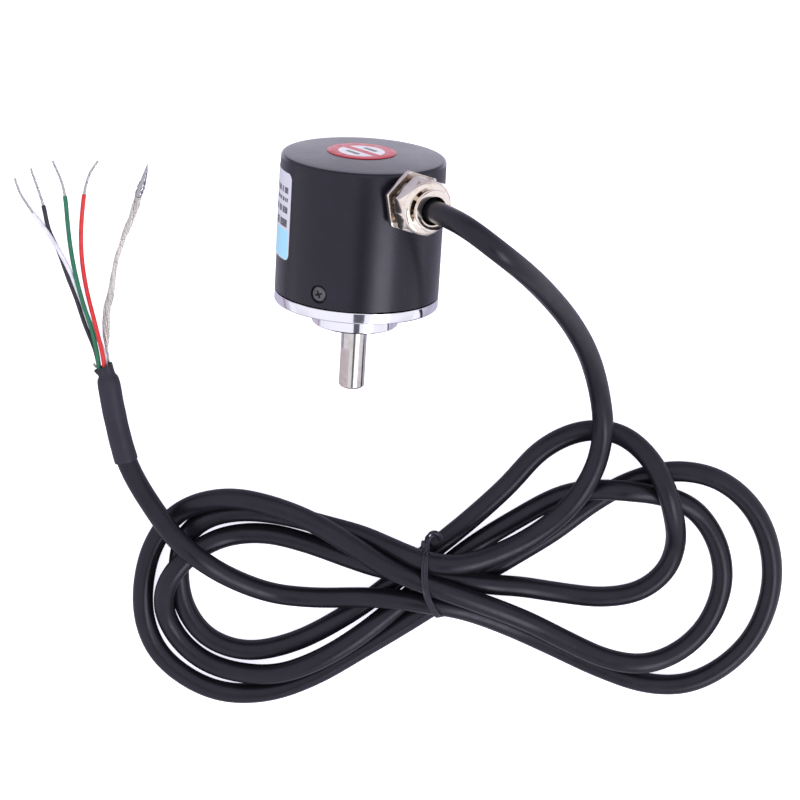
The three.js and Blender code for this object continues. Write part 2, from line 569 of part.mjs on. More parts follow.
housing();
rotor();
electronics();
gland();
labels();
cable();
add(loose, "twist_tie", twistTie(), RUBBER);

export default model;
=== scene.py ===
"""A shaft encoder lying on its side, with its cable in tied loops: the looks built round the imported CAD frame.

Lengths in this file are millimetres in the CAD frame, and MM turns them into Blender's metres where a piece is made.
The encoder's axis runs along Y at height AXIS_Z, with the shaft towards -Y.
"""

import json
import random
from math import atan2, ceil, copysign, cos, hypot, radians, sin, sqrt, tau

import bmesh
import bpy
from mathutils import Matrix, Vector
from mathutils.geometry import convex_hull_2d


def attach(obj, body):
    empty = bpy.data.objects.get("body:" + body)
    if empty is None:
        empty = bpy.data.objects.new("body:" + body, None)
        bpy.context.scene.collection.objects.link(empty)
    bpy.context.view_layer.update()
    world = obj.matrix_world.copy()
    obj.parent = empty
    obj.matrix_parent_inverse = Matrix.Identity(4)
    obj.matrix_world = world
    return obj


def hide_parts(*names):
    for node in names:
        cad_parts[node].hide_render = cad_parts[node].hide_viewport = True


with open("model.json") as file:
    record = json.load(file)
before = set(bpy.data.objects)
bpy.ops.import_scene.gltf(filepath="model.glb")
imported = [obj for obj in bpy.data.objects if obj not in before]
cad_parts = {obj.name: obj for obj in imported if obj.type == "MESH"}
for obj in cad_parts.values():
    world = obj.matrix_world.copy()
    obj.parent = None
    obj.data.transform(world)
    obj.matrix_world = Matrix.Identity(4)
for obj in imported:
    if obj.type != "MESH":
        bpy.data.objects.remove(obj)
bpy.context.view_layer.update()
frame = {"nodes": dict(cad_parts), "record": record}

MM = 0.001
ALONG = Vector((0, 1, 0))  # the encoder's axis
UP = Vector((0, 0, 1))

# ---- the encoder's stations, as in the CAD ----
AXIS_Z = 19
BODY_R = 19
FACE = -7.25
BOSS_FACE = -12.25
SHAFT_TIP = -27.75
RIM_TOP = -4.75
COVER_END = 27.6
GLAND_Y = 21.55
GLAND_ANGLE = 57
GLAND_FACE = 29.6
SCREW_Y = RIM_TOP + 3.5
COVER_SCREWS = (117, 237, 357)
FLAT_ANGLE = 141
SHAFT_R = 3
CABLE_R = 2.5
WIRE_R = 0.52

# ---- the cable's route, as in the CAD. A point without a height lies on the floor, at one of these heights. ----
CABLE_LIES = 2.6
WIRE_LIES = 0.6
LEAD = [
    (24, 20.8, 55.6), (30, 17, 57.2), (36.5, 11, 51.5), (43, 3.2, 42), (49.5, -6.3, 31), (55, -17, 21),
    (59, -29.5, 12.6), (60.5, -38.5, 9.3), (59.6, -46.5, 9.8), (56, -54.6, 10.4), (49, -63.5, 8.8), (40, -69.6, 9.6),
    (29, -73, 12.7),
]
LOOPS = [
    (21, -73, 12.9), (13.5, -71.6, 9.8), (5, -70.1, 4.8), (-4, -68.7, 2.8), (-15, -66.5), (-25, -66.1),
    (-33.5, -68.6), (-38.5, -74), (-39.6, -82), (-37.8, -91.5), (-32, -99.3), (-22.5, -102.4), (-11, -99.6),
    (2, -91.6), (12, -83, 2.9), (21.5, -73.6, 3.3), (30, -65.6, 2.8), (39, -56), (47, -46), (56, -41), (65, -41, 3),
    (72, -45, 7), (76.5, -51.5, 10.5), (79.4, -59.8, 9), (80.8, -68.5, 4.2), (79.2, -75.5), (73.5, -81),
    (64.5, -83.3), (54, -82.7, 2.8), (44, -81, 4.6), (35, -79.5, 8), (22, -77.4, 8.4), (11, -77.4, 7.2),
    (2, -76.4, 3.6), (-8, -73.6), (-19, -71.5), (-29, -72.7, 3.6), (-36, -76, 6.9), (-41, -81.6, 8.3),
    (-42.8, -89, 5.8), (-41.3, -96.3, 3.1), (-37.2, -102.2), (-31, -106.4, 2.7), (-23, -108, 3.6), (-14, -106.8, 5.8),
    (-4, -101.8, 7.3), (6, -94.9, 6.2), (14.5, -87.8, 3.8), (22, -80.8, 3.2), (31, -72.4, 2.8), (42, -64.2),
    (52, -57.7, 3), (60, -54.4, 6.4), (68.5, -53.8, 8), (77, -55.4, 5.4), (85, -59.5, 2.8), (91, -67.5),
    (93.3, -77.5), (90.6, -88.6, 2.7), (84.5, -95.4, 4.2), (75.5, -98.6, 6.8), (66, -97.6, 7.2), (56.5, -93.7, 7.3),
    (46.5, -88.8, 8.2), (36, -83.9, 11.3), (22, -78.8, 13.3), (11.5, -75.2, 12.6), (2, -70.8, 9.4), (-8, -65.8, 8),
    (-18, -62.5, 7.7), (-27, -61.5, 6.8), (-35, -63.8, 4.8), (-41.5, -68.6, 2.8), (-46, -76.2), (-48, -86),
    (-47.4, -95.8), (-43.6, -104.2), (-36, -110.6), (-27, -113.8), (-16, -112.9), (-5, -108), (6, -100.4),
    (14.8, -94, 2.8), (22.5, -88, 3.3), (31, -81.4, 2.9), (41, -74.3), (51, -67), (60, -59), (69, -53), (79.5, -49.8),
    (90, -51.4), (98.5, -57.8), (103.8, -67.5), (105.3, -78.5), (102.5, -90.5), (96, -99.3), (87, -104.8),
    (77, -105.4), (65, -101.9), (53, -96.8), (42.5, -92.1, 3.6), (34, -88.3, 6), (27.5, -86, 8.1),
]
TAIL = [
    (22, -85.2, 8.9), (13, -84.4, 8.6), (4, -85.2, 7), (-6, -86.6, 5), (-16, -86, 5.2), (-25, -82, 8.4),
    (-32.5, -76.7, 12), (-39.5, -71.2, 12.3), (-45.5, -65, 8.6), (-50.2, -59.6, 4.8), (-52.7, -55.6, 3.2),
]
SLEEVE = [(-53.1, -54.8, 3.1), (-54.8, -49.3, 2.9), (-56.7, -41.6, 2.9), (-58.6, -33, 2.9)]
WIRES = {
    "white": [(-58.8, -32, 2.4), (-59.4, -28, 1.9), (-62.4, -22.5, 0.8), (-65.9, -14.5), (-68, -9.2, 0.9),
              (-70.6, -3.6, 2.5), (-74.1, 1, 0.9), (-77.3, 5), (-80.4, 9.6), (-81.7, 13)],
    "black": [(-60.5, -32, 1.6), (-61.6, -28, 1), (-64.3, -21.7), (-66.6, -15.2), (-68.6, -10.4), (-71.1, -3.8),
              (-73.4, 1), (-74.9, 7), (-78, 15.6)],
    "green": [(-60.3, -32, 3.1), (-61, -28, 2.8), (-62.4, -22.8, 2.2), (-64.6, -16.6, 1.9), (-66.6, -10, 1.4),
              (-68.2, -2.8, 0.8), (-69, 2.7), (-69.8, 9.3), (-70.6, 12.6), (-72.9, 17.7)],
    "red": [(-58.9, -32, 3.8), (-59.7, -27.8, 3.3), (-61.7, -20.9, 2.4), (-64.1, -12.7, 1.2), (-65.4, -5.7),
            (-65.8, 1), (-65.3, 10.2), (-64.9, 12.6), (-64, 15.5), (-62.3, 18.3)],
}
BRAID = [(-58.2, -32, 1.1), (-58.8, -27.3, 1), (-59.1, -24.1, 0.9), (-59.2, -21.1, 0.9), (-59.1, -18.2, 0.8),
         (-58.5, -14.5, 0.8), (-58, -10.8, 0.8), (-57.5, -7.2, 0.8), (-56.8, -3.6, 0.8), (-55.7, 0.1, 0.8),
         (-54.4, 3.8, 0.8), (-53.3, 7.3, 0.8), (-52.3, 11.5, 0.8), (-51.3, 14.9, 0.8), (-50.6, 18.4, 0.8)]
# The pigtail's and the solder's thickness along their length, as (share of the length, size).
BRAID_SWELL = ((0, 0.32), (0.09, 0.34), (0.125, 0.6), (0.16, 0.86), (0.21, 1.05), (0.26, 0.85), (0.335, 0.93),
               (0.405, 0.7), (0.48, 0.64), (0.55, 0.58), (0.625, 0.62), (0.7, 0.8), (0.776, 0.96), (0.85, 0.8),
               (0.93, 0.5), (1, 0.1))
SOLDER_SWELL = ((0, 0.72), (0.12, 0.92), (0.28, 0.95), (0.55, 0.62), (0.8, 0.38), (1, 0.07))


# ---- curves ----
def smooth_path(points, spacing):
    """A centripetal Catmull-Rom curve through the points, as points `spacing` apart."""
    p = [Vector(q) for q in points]
    p = [p[0] * 2 - p[1], *p, p[-1] * 2 - p[-2]]
    dense = []
    for a, b, c, d in zip(p, p[1:], p[2:], p[3:]):
        t1 = sqrt((b - a).length)
        t2 = t1 + sqrt((c - b).length)
        t3 = t2 + sqrt((d - c).length)
        steps = max(4, ceil((c - b).length / spacing * 3))
        for i in range(steps):
            t = t1 + (t2 - t1) * i / steps
            a1 = a.lerp(b, t / t1)
            a2 = b.lerp(c, (t - t1) / (t2 - t1))
            a3 = c.lerp(d, (t - t2) / (t3 - t2))
            b1 = a1.lerp(a2, t / t2)
            b2 = a2.lerp(a3, (t - t1) / (t3 - t1))
            dense.append(b1.lerp(b2, (t - t1) / (t2 - t1)))
    dense.append(p[-2])
    return evenly(dense, spacing)


def evenly(points, spacing):
    """The same line with points an equal distance apart."""
    lengths = [0.0]
    for a, b in zip(points, points[1:]):
        lengths.append(lengths[-1] + (b - a).length)
    count = max(2, round(lengths[-1] / spacing))
    made, j = [], 0
    for i in range(count + 1):
        s = lengths[-1] * i / count
        while j < len(points) - 2 and lengths[j + 1] < s:
            j += 1
        span = lengths[j + 1] - lengths[j]
        made.append(points[j].lerp(points[j + 1], (s - lengths[j]) / span if span else 0))
    return made


def relaxed(points, rounds):
    """Evens out the bends, with both ends kept."""
    for _ in range(rounds):
        middle = [a * 0.25 + b * 0.5 + c * 0.25 for a, b, c in zip(points, points[1:], points[2:])]
        points = [points[0], *middle, points[-1]]
    return points


def between(pairs, t):
    """The size at t in a list of (place, size), eased from each pair to the next."""
    for (t0, size0), (t1, size1) in zip(pairs, pairs[1:]):
        if t <= t1:
            share = (t - t0) / (t1 - t0)
            return size0 + (size1 - size0) * share * share * (3 - 2 * share)
    return pairs[-1][1]


def tangent(points, i, closed=False):
    """The line's direction at point i."""
    before, after = (i - 1, (i + 1) % len(points)) if closed else (max(i - 1, 0), min(i + 1, len(points) - 1))
    return (points[after] - points[before]).normalized()


def frames(points):
    """Two cross directions at each point that turn as little as they can along the line."""
    side = tangent(points, 0).orthogonal().normalized()
    made = []
    for i in range(len(points)):
        along = tangent(points, i)
        side = (side - along * side.dot(along)).normalized()
        made.append((side, along.cross(side)))
    return made


def nearest(line, point):
    """The number of the line's point that is nearest to a point."""
    return min(range(len(line)), key=lambda i: (line[i] - Vector(point)).length)


def on_floor(points, height):
    """The points, with the height filled in where they have none because they lie on the floor."""
    return [(*p, height)[:3] for p in points]


# ---- mesh building ----
def piece(name, verts, faces, material=None, slot=None, body="housing"):
    """A mesh object from millimetre vertices. One without a body is a tool or a part of the studio."""
    mesh = bpy.data.meshes.new(name)
    mesh.from_pydata([Vector(v) * MM for v in verts], [], faces)
    if material:
        mesh.materials.append(material)
    mesh.shade_smooth()
    mesh.validate()
    mesh.update()
    obj = bpy.data.objects.new(name, mesh)
    bpy.context.scene.collection.objects.link(obj)
    if body:
        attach(obj, body)
    return obj


def ring(low, high, sides):
    """The faces between two rings of vertices, whose first ones have the numbers low and high."""
    return [(low + k, low + (k + 1) % sides, high + (k + 1) % sides, high + k) for k in range(sides)]


def caps(low, high, sides):
    """The end faces of a tube whose end rings start at the numbers low and high."""
    return [tuple(low + k for k in reversed(range(sides))), tuple(high + k for k in range(sides))]


def joined(*meshes):
    """Several (vertices, faces) as one."""
    verts, faces = [], []
    for more, over in meshes:
        faces += [tuple(len(verts) + i for i in face) for face in over]
        verts += more
    return verts, faces


def tube_mesh(points, radius, sides, close=True):
    """Rings of vertices round a line, with radius(i, angle) or one number, and the faces between them."""
    verts, faces = [], []
    for i, (p, (u, v)) in enumerate(zip(points, frames(points))):
        for k in range(sides):
            a = tau * k / sides
            r = radius(i, a) if callable(radius) else radius
            verts.append(p + (u * cos(a) + v * sin(a)) * r)
    rows = range(0, len(verts), sides)
    for low, high in zip(rows, rows[1:]):
        faces += ring(low, high, sides)
    if close:
        faces += caps(0, rows[-1], sides)
    return verts, faces


def lathe_mesh(profile, segments, place):
    """A closed profile of (radius, height) turned by place(radius, height, angle). Points on the axis are shared."""
    verts, faces, rows = [], [], []
    for r, h in profile:
        if r < 1e-6:
            rows.append([len(verts)] * segments)
            verts.append(place(0, h, 0))
        else:
            rows.append(list(range(len(verts), len(verts) + segments)))
            verts += [place(r, h, tau * k / segments) for k in range(segments)]
    pairs = list(zip(rows, rows[1:]))
    if profile[0][0] > 1e-6:
        pairs.append((rows[-1], rows[0]))
    for low, high in pairs:
        for k in range(segments):
            n = (k + 1) % segments
            face = tuple(dict.fromkeys((low[k], high[k], high[n], low[n])))
            if len(face) > 2:
                faces.append(face)
    return verts, faces


def about_y(x, z, start=0):
    """Places (radius, height, angle) about a line along Y, with heights from the station `start`."""
    return lambda r, h, a: (x + r * cos(a), start + h, z + r * sin(a))


on_axis = about_y(0, AXIS_Z)


def radial(degrees):
    """The direction that leaves the encoder's axis at an angle."""
    return Vector((cos(radians(degrees)), 0, sin(radians(degrees))))


def outwards(degrees, y):
    """Places (radius, height, angle) about a line that leaves the encoder's axis at `degrees`, at station y."""
    out, start = radial(degrees), Vector((0, y, AXIS_Z))
    cross = out.cross(ALONG)
    return lambda r, h, a: start + out * h + ALONG * (r * cos(a)) + cross * (r * sin(a))


def at(station, *points):
    """Profile points (radius, height) with their heights from a station."""
    return [(r, station + h) for r, h in points]


def thread(crest, root, start, pitch, turns, rise=0.25):
    """A thread's profile of (radius, height), as plain ridges. A root comes `rise` after its crest."""
    return [p for k in range(turns) for p in ((crest, start + k * pitch), (root, start + rise + k * pitch))]


def rounded(profile, radius):
    """Rounds the corners of an open profile, apart from its two ends."""
    made = [profile[0]]
    for a, b, c in zip(*([Vector(p) for p in profile[i:]] for i in range(3))):
        r = min(radius, (a - b).length * 0.45, (c - b).length * 0.45)
        start, end = b + (a - b).normalized() * r, b + (c - b).normalized() * r
        for t in (0, 1 / 3, 2 / 3, 1):
            made.append(tuple(start * (1 - t) ** 2 + b * 2 * t * (1 - t) + end * t * t))
    return [*made, profile[-1]]


def face_outwards(obj):
    bm = bmesh.new()
    bm.from_mesh(obj.data)
    bmesh.ops.recalc_face_normals(bm, faces=bm.faces)
    bm.to_mesh(obj.data)
    bm.free()
    return obj


def apply_modifiers(obj):
    graph = bpy.context.evaluated_depsgraph_get()
    made = bpy.data.meshes.new_from_object(obj.evaluated_get(graph))
    obj.modifiers.clear()
    old = obj.data
    obj.data = made
    bpy.data.meshes.remove(old)
    return obj


def boolean(obj, tools, operation="DIFFERENCE"):
    """Cuts, joins or intersects with each tool object in turn, and removes the tools."""
    face_outwards(obj)
    for cutter in tools:
        modifier = obj.modifiers.new("cut", "BOOLEAN")
        modifier.operation = operation
        modifier.solver = "EXACT"
        modifier.object = face_outwards(cutter)
    apply_modifiers(obj)
    for cutter in tools:
        bpy.data.objects.remove(cutter)
    return obj


def tool(profile, place, segments=64):
    return piece("tool", *lathe_mesh(profile, segments, place), body=None)


def prism(verts):
    """A tool between two rings of vertices, given as one list."""
    n = len(verts) // 2
    return piece("tool", verts, ring(0, n, n) + caps(0, n, n), body=None)


def sharpen(obj, degrees):
    """Smooth shading with hard edges where faces meet at more than the angle."""
    bm = bmesh.new()
    bm.from_mesh(obj.data)
    bmesh.ops.remove_doubles(bm, verts=bm.verts, dist=1e-7)
    for face in bm.faces:
        face.smooth = True
    for edge in bm.edges:
        edge.smooth = len(edge.link_faces) == 2 and edge.calc_face_angle(0) < radians(degrees)
    bm.to_mesh(obj.data)
    bm.free()
    return obj


def bevel(obj, width, degrees):
    modifier = obj.modifiers.new("bevel", "BEVEL")
    modifier.width = width * MM
    modifier.segments = 2
    modifier.limit_method = "ANGLE"
    modifier.angle_limit = radians(degrees)
    return apply_modifiers(obj)


# ---- materials ----
def srgb(code):
    """A colour written as six hexadecimal digits, as linear red, green, blue and alpha."""
    parts = [int(code[i:i + 2], 16) / 255 for i in (0, 2, 4)]
    return (*[c / 12.92 if c <= 0.04045 else ((c + 0.055) / 1.055) ** 2.4 for c in parts], 1)


class Tree:
    """The node tree of a material or a world. Each method gives the new node's output socket."""

    def __init__(self, owner):
        owner.use_nodes = True
        self.nodes = owner.node_tree.nodes
        self.links = owner.node_tree.links

    def put(self, value, socket):
        if isinstance(value, bpy.types.NodeSocket):
            self.links.new(value, socket)
        else:
            socket.default_value = value

    def node(self, kind, out=0, settings=None, **inputs):
        """A node with its inputs set or linked: a key like i0 means input number 0."""
        made = self.nodes.new("ShaderNode" + kind)
        for key, value in (settings or {}).items():
            setattr(made, key, value)
        for key, value in inputs.items():
            self.put(value, made.inputs[int(key[1:]) if key[0] == "i" and key[1:].isdigit() else key])
        return made.outputs[out]

    def math(self, operation, a, b=0.0, c=0.0):
        return self.node("Math", settings={"operation": operation}, i0=a, i1=b, i2=c)

    def vector(self, operation, out, a, b=(0, 0, 0)):
        return self.node("VectorMath", out, {"operation": operation}, i0=a, i1=b)

    def product(self, value, *factors):
        for factor in factors:
            value = self.math("MULTIPLY", value, factor)
        return value

    def hypot(self, a, b):
        return self.math("SQRT", self.math("ADD", self.product(a, a), self.product(b, b)))

    def axes(self, vector):
        """The vector's x, y and z."""
        return self.node("SeparateXYZ", Vector=vector).node.outputs

    def remap(self, value, low, high, to_low=0.0, to_high=1.0):
        """A smooth step from to_low at low to to_high at high."""
        kind = {"interpolation_type": "SMOOTHSTEP"}
        return self.node("MapRange", settings=kind, i0=value, i1=low, i2=high, i3=to_low, i4=to_high)


class Surface(Tree):
    """A Principled material whose colour, roughness and relief build up from procedural layers."""

    def __init__(self, name, colour, roughness, metallic=0.0, **sockets):
        self.material = bpy.data.materials.new(name)
        super().__init__(self.material)
        self.material.diffuse_color = srgb(colour)
        self.inputs = self.nodes["Principled BSDF"].inputs
        sockets |= {"Base Color": srgb(colour), "Roughness": roughness, "Metallic": metallic}
        for socket, value in sockets.items():
            self.inputs[socket.replace("_", " ")].default_value = value
        self.last = {}
        self.place = self.node("TexCoord", "Object")

    def scaled(self, size, stretch=(1, 1, 1), turn=(0, 0, 0)):
        """Object coordinates with one unit every `size` millimetres."""
        turned = self.node("Mapping", Vector=self.place, Rotation=turn)
        return self.node("Mapping", Vector=turned, Scale=tuple(1 / (size * MM * s) for s in stretch))

    def noise(self, size, detail=2.0, **shape):
        return self.node("TexNoise", Vector=self.scaled(size, **shape), Scale=1.0, Detail=detail)

    def specks(self, size, radius, share):
        """Small dots: one at most in each cell of `size` millimetres, in that share of the cells."""
        cells = self.node("TexVoronoi", Vector=self.scaled(size), Scale=1.0).node.outputs
        near = self.remap(cells["Distance"], radius / size, radius / size * 0.5)
        chosen = self.math("LESS_THAN", self.node("SeparateColor", Color=cells["Color"]), share)
        return self.product(near, chosen)

    def feed(self, socket, value):
        """Links the top layer of a socket, which later layers build on."""
        self.last[socket] = value
        self.links.new(value, self.inputs[socket])
        return self

    def tint(self, factor, colour):
        """Mixes the colour under this layer towards another one by the factor."""
        under = self.last.get("Base Color", self.inputs["Base Color"].default_value)
        return self.feed("Base Color", self.node("Mix", 2, {"data_type": "RGBA"}, i0=factor, i6=under, i7=srgb(colour)))

    def roughen(self, factor, roughness):
        under = self.last.get("Roughness", self.inputs["Roughness"].default_value)
        return self.feed("Roughness", self.node("Mix", i0=factor, i2=under, i3=roughness))

    def relief(self, height, depth, strength=1.0):
        """Adds bumps `depth` millimetres high."""
        under = {"Normal": self.last["Normal"]} if "Normal" in self.last else {}
        return self.feed("Normal", self.node("Bump", Height=height, Distance=depth * MM, Strength=strength, **under))

    def mottle(self, colour, size, detail, low, high):
        """Patches of another colour, where the noise is between low and high and above."""
        return self.tint(self.remap(self.noise(size, detail), low, high), colour)

    def haze(self, roughness, size, detail, low, high, **shape):
        """Patches of another roughness."""
        return self.roughen(self.remap(self.noise(size, detail, **shape), low, high), roughness)

    def grain(self, size, depth, strength):
        return self.relief(self.noise(size, 2), depth, strength)


COOL = (0.86, 0.84, 1.0, 1)


def paint():
    s = Surface("black_paint", "111116", 0.27, Specular_IOR_Level=0.42, Specular_Tint=COOL)
    s.mottle("15141c", 5, 3, 0.35, 0.7).haze(0.3, 7, 2, 0.3, 0.75).grain(0.8, 0.012, 0.5)
    return s.tint(s.specks(2.6, 0.07, 0.18), "9a9aa0").material


def turned_metal(name, colour, roughness, ring_width=0.09, depth=0.0012, smear=0.06):
    """Metal turned about the Y axis: fine rings along Y, and a little uneven haze."""
    s = Surface(name, colour, roughness, 1.0)
    rings = s.noise(ring_width, 2, stretch=(60, 1, 60))
    s.relief(rings, depth, 0.7).haze(roughness + smear, 2.4, 3, 0.4, 0.75, stretch=(2, 1, 2))
    return s.roughen(s.remap(rings, 0.35, 0.7), roughness + smear * 0.7)


def milled_steel():
    """The shaft's flat: slanting cutter marks, a little duller and warmer than the ground metal round it."""
    s = Surface("milled_flat", "e4d8d2", 0.2, 1.0)
    marks = s.noise(0.16, 2, stretch=(9, 1, 9), turn=(0, 0, radians(35)))
    s.tint(s.remap(marks, 0.42, 0.7), "cbbdb6").roughen(s.remap(marks, 0.4, 0.7), 0.3)
    return s.relief(marks, 0.004, 0.6).material


# The gland's recesses that get painted shade, a dark ring in the groove and a brown band by the nut's face: middle from
# the axis, half width, outer radius, colour, least strength.
GLAND_SHADE_RINGS = ((28.2, 0.4, 4.7, "1e1a18", 0.1), (22.5, 0.85, 7.2, "4b3e33", 0.7))


def nickel():
    """Bright plating, with a patchy painted shade, dark and brown, in the gland's recesses."""
    s = Surface("nickel", "efe6da", 0.08, 1.0)
    s.mottle("e2d2c2", 2.2, 3, 0.45, 0.75).haze(0.17, 1.1, 4, 0.45, 0.72)
    s.grain(0.35, 0.0025, 0.5).grain(1.9, 0.012, 0.35)
    out = tuple(radial(GLAND_ANGLE))
    place = s.vector("SUBTRACT", 0, s.place, (0, GLAND_Y * MM, AXIS_Z * MM))
    height = s.vector("DOT_PRODUCT", 1, place, out)
    radius = s.vector("LENGTH", 1, s.vector("CROSS_PRODUCT", 0, place, out))
    # Painted shade: each band is tinted dark, in patches, and made rougher where the recess would lie in shade.
    for middle, half, reach, colour, least in GLAND_SHADE_RINGS:
        off = s.math("ABSOLUTE", s.math("SUBTRACT", height, middle * MM))
        recess = s.product(s.remap(off, (half + 0.12) * MM, half * MM),
                           s.remap(radius, reach * MM, (reach - 0.15) * MM),
                           s.remap(s.noise(2.1, 1), 0.4, 0.5, least, 1.0))
        s.tint(recess, colour).roughen(recess, 0.24)
    return s.material


def dull_black(name, colour, shade, roughness, grain, depth):
    """Black rubber, PVC or film: a faint grain, uneven haze and a few specks of dust."""
    s = Surface(name, colour, roughness, Specular_IOR_Level=0.34, Specular_Tint=COOL)
    s.mottle(shade, 7, 3, 0.35, 0.7).haze(roughness + 0.08, 2.5, 3, 0.35, 0.7)
    s.grain(grain, depth, 0.6).grain(grain * 9, depth * 4, 0.4)
    return s.tint(s.specks(2.4, 0.055, 0.12), "8d8d94").material


def plastic(name, colour, shade, roughness, grain, depth, **sockets):
    s = Surface(name, colour, roughness, **sockets)
    s.mottle(shade, 1.6, 3, 0.35, 0.75).haze(roughness + 0.1, 0.9, 3, 0.4, 0.7)
    return s.grain(grain, depth, 0.6).material


def tinned(name, colour, roughness):
    """Tinned copper: bright, with a few dark and a few coppery patches."""
    s = Surface(name, colour, roughness, 1.0)
    s.mottle("8f8a86", 0.5, 3, 0.56, 0.74).mottle("b5a592", 1.3, 2, 0.66, 0.78)
    return s.haze(roughness + 0.14, 0.4, 2, 0.4, 0.7).grain(0.16, 0.006, 0.6).material


def board():
    """Green solder mask with paler lines."""
    s = Surface("board", "1e5a34", 0.4)
    lines = s.node("TexBrick", 1, Vector=s.scaled(1.2), Scale=1.0)
    return s.tint(s.product(lines, 0.6), "3c8a55").grain(0.25, 0.004, 0.5).material


def code_glass():
    """Clear glass with a ring of fine dark lines near its edge."""
    s = Surface("code_glass", "dfe9ea", 0.06, Transmission_Weight=0.75, IOR=1.5)
    x, _, z = s.axes(s.place)
    z = s.math("SUBTRACT", z, AXIS_Z * MM)
    radius = s.hypot(x, z)
    track = s.product(s.remap(radius, 8.6 * MM, 8.7 * MM), s.remap(radius, 11.7 * MM, 11.6 * MM))
    lines = s.math("SINE", s.product(s.math("ARCTAN2", z, x), 200.0))
    s.tint(s.product(track, s.remap(lines, -0.1, 0.1)), "101012")
    return s.roughen(s.noise(3, 2), 0.1).material


STICKER = (-0.6, AXIS_Z - 3.6)


def sticker_film():
    """Red film with a white field, a slanting red band and two plain grey bars."""
    s = Surface("sticker_film", "bf2233", 0.32)
    x, _, z = s.axes(s.vector("SUBTRACT", 0, s.place, (STICKER[0] * MM, 0, STICKER[1] * MM)))
    turn = radians(-42)
    across = s.math("ABSOLUTE", s.math("ADD", s.product(x, cos(turn)), s.product(z, sin(turn))))
    along = s.math("ABSOLUTE", s.math("SUBTRACT", s.product(z, cos(turn)), s.product(x, sin(turn))))
    off_band = s.remap(across, 0.98 * MM, 1.04 * MM)
    s.tint(s.product(s.remap(s.hypot(x, z), 5.38 * MM, 5.32 * MM), off_band), "dfe0e6")
    bars = s.product(s.math("COMPARE", across, 2.7 * MM, 0.65 * MM), s.remap(along, 2.2 * MM, 2.15 * MM))
    return s.tint(bars, "4a4c52").grain(0.5, 0.004, 0.4).haze(0.42, 1.5, 2, 0.4, 0.7).material


LABEL_Y = (4.3, 24.5)
LABEL_ANGLES = (147, 222)
# The label's print, as rows of bars: middle along Y, half height, length of a word.
PRINT_ROWS = ((20.4, 0.75, 2.6), (18.2, 0.5, 1.5), (15.8, 0.8, 2.2), (12.75, 0.95, 2.9))


def label_film():
    """White film with a pale blue end and rows of plain dark bars, by the label's UV map in millimetres."""
    s = Surface("label_film", "d4d5df", 0.3)
    u, v, _ = s.axes(s.node("UVMap", settings={"uv_map": "label"}))
    edge = s.product(s.remap(v, LABEL_Y[0] + 0.28, LABEL_Y[0] + 0.34), s.remap(u, 0.28, 0.34))
    s.tint(s.product(edge, s.remap(v, 11.3, 11.2)), "a4def9")
    for i, (row, half, word) in enumerate(PRINT_ROWS):
        in_row = s.remap(s.math("ABSOLUTE", s.math("SUBTRACT", v, row)), half, half - 0.08)
        words = s.node("TexNoise", settings={"noise_dimensions": "1D"}, W=s.math("DIVIDE", u, word * 0.55), Scale=1.0,
                       Detail=1.5)
        gaps = s.remap(s.math("ADD", words, 0.013 * i), 0.44, 0.46)
        ink = s.remap(s.noise(0.2, 1), 0.2, 0.5)
        s.tint(s.product(in_row, gaps, s.remap(u, 1.2, 1.3), ink), "2b2c33")
    return s.grain(0.9, 0.004, 0.4).haze(0.36, 2, 2, 0.4, 0.7).material


PAINT = paint()
ALUMINIUM = turned_metal("aluminium", "efeff4", 0.07, depth=0.0008, smear=0.04).material
STEEL = turned_metal("stainless", "d3cfca", 0.11, 0.07, 0.0016).mottle("c5c0b9", 3, 2, 0.45, 0.75).material
MILLED = milled_steel()
NICKEL = nickel()
BLACK_STEEL = plastic("black_steel", "505055", "303034", 0.3, 0.4, 0.004, Metallic=0.65)
SHEATH = dull_black("cable_sheath", "131216", "18171d", 0.28, 0.22, 0.005)
SHRINK = dull_black("shrink_sleeve", "23222a", "28272f", 0.44, 0.3, 0.005)
RUBBER = dull_black("rubber", "1c1c1e", "232325", 0.6, 0.3, 0.008)
TIE = dull_black("tie", "1f1e25", "25242d", 0.34, 0.25, 0.006)
TINNED = tinned("tinned", "c4c0c1", 0.22)
SHIELD = tinned("shield", "d2cfca", 0.27)
SOLDER = tinned("solder", "aeacb0", 0.2)
WIRE_SKINS = {name: plastic("wire_" + name, colour, shade, 0.34, 0.35, 0.003) for name, colour, shade in (
    ("white", "dddbe2", "cbc8d6"), ("black", "202026", "2a2a33"), ("green", "166546", "1d7153"),
    ("red", "c41d1f", "cf2b28"))}
# What each of the record's material slots looks like on the CAD nodes that stay.
CAD_FINISHES = {
    "board": board(),
    "epoxy": plastic("epoxy", "1d1d1f", "2a2a2c", 0.5, 0.15, 0.008),
    "nylon": plastic("nylon", "ebe5d4", "ded6c0", 0.45, 0.4, 0.006),
    "clear_epoxy": plastic("clear_epoxy", "dfe8f2", "cfdcea", 0.08, 0.6, 0.002, Transmission_Weight=0.8),
    "glass": code_glass(),
    "brass": turned_metal("brass", "c8a558", 0.22, 0.1).material,
    "bearing_steel": turned_metal("bearing_steel", "c6c8cc", 0.14, 0.12).material,
    "black_steel": BLACK_STEEL,
    "rubber": RUBBER,
    "nickel": NICKEL,
    "cable_sheath": SHEATH,
}


# ---- camera, light and floor ----
def make_camera():
    data = bpy.data.cameras.new("camera")
    data.sensor_width = 36
    data.lens = 138.74
    data.clip_start, data.clip_end = 0.05, 20
    camera = bpy.data.objects.new("camera", data)
    bpy.context.scene.collection.objects.link(camera)
    right = Vector((0.998335, 0.057689, 0))
    up = Vector((-0.055006, 0.951912, -0.301394))
    forward = Vector((0.017387, -0.300892, -0.953500))
    placed = Matrix((right, up, -forward)).transposed().to_4x4()
    placed.translation = Vector((-0.98, 186.85, 707.82)) * MM
    camera.matrix_world = placed
    bpy.context.scene.camera = camera


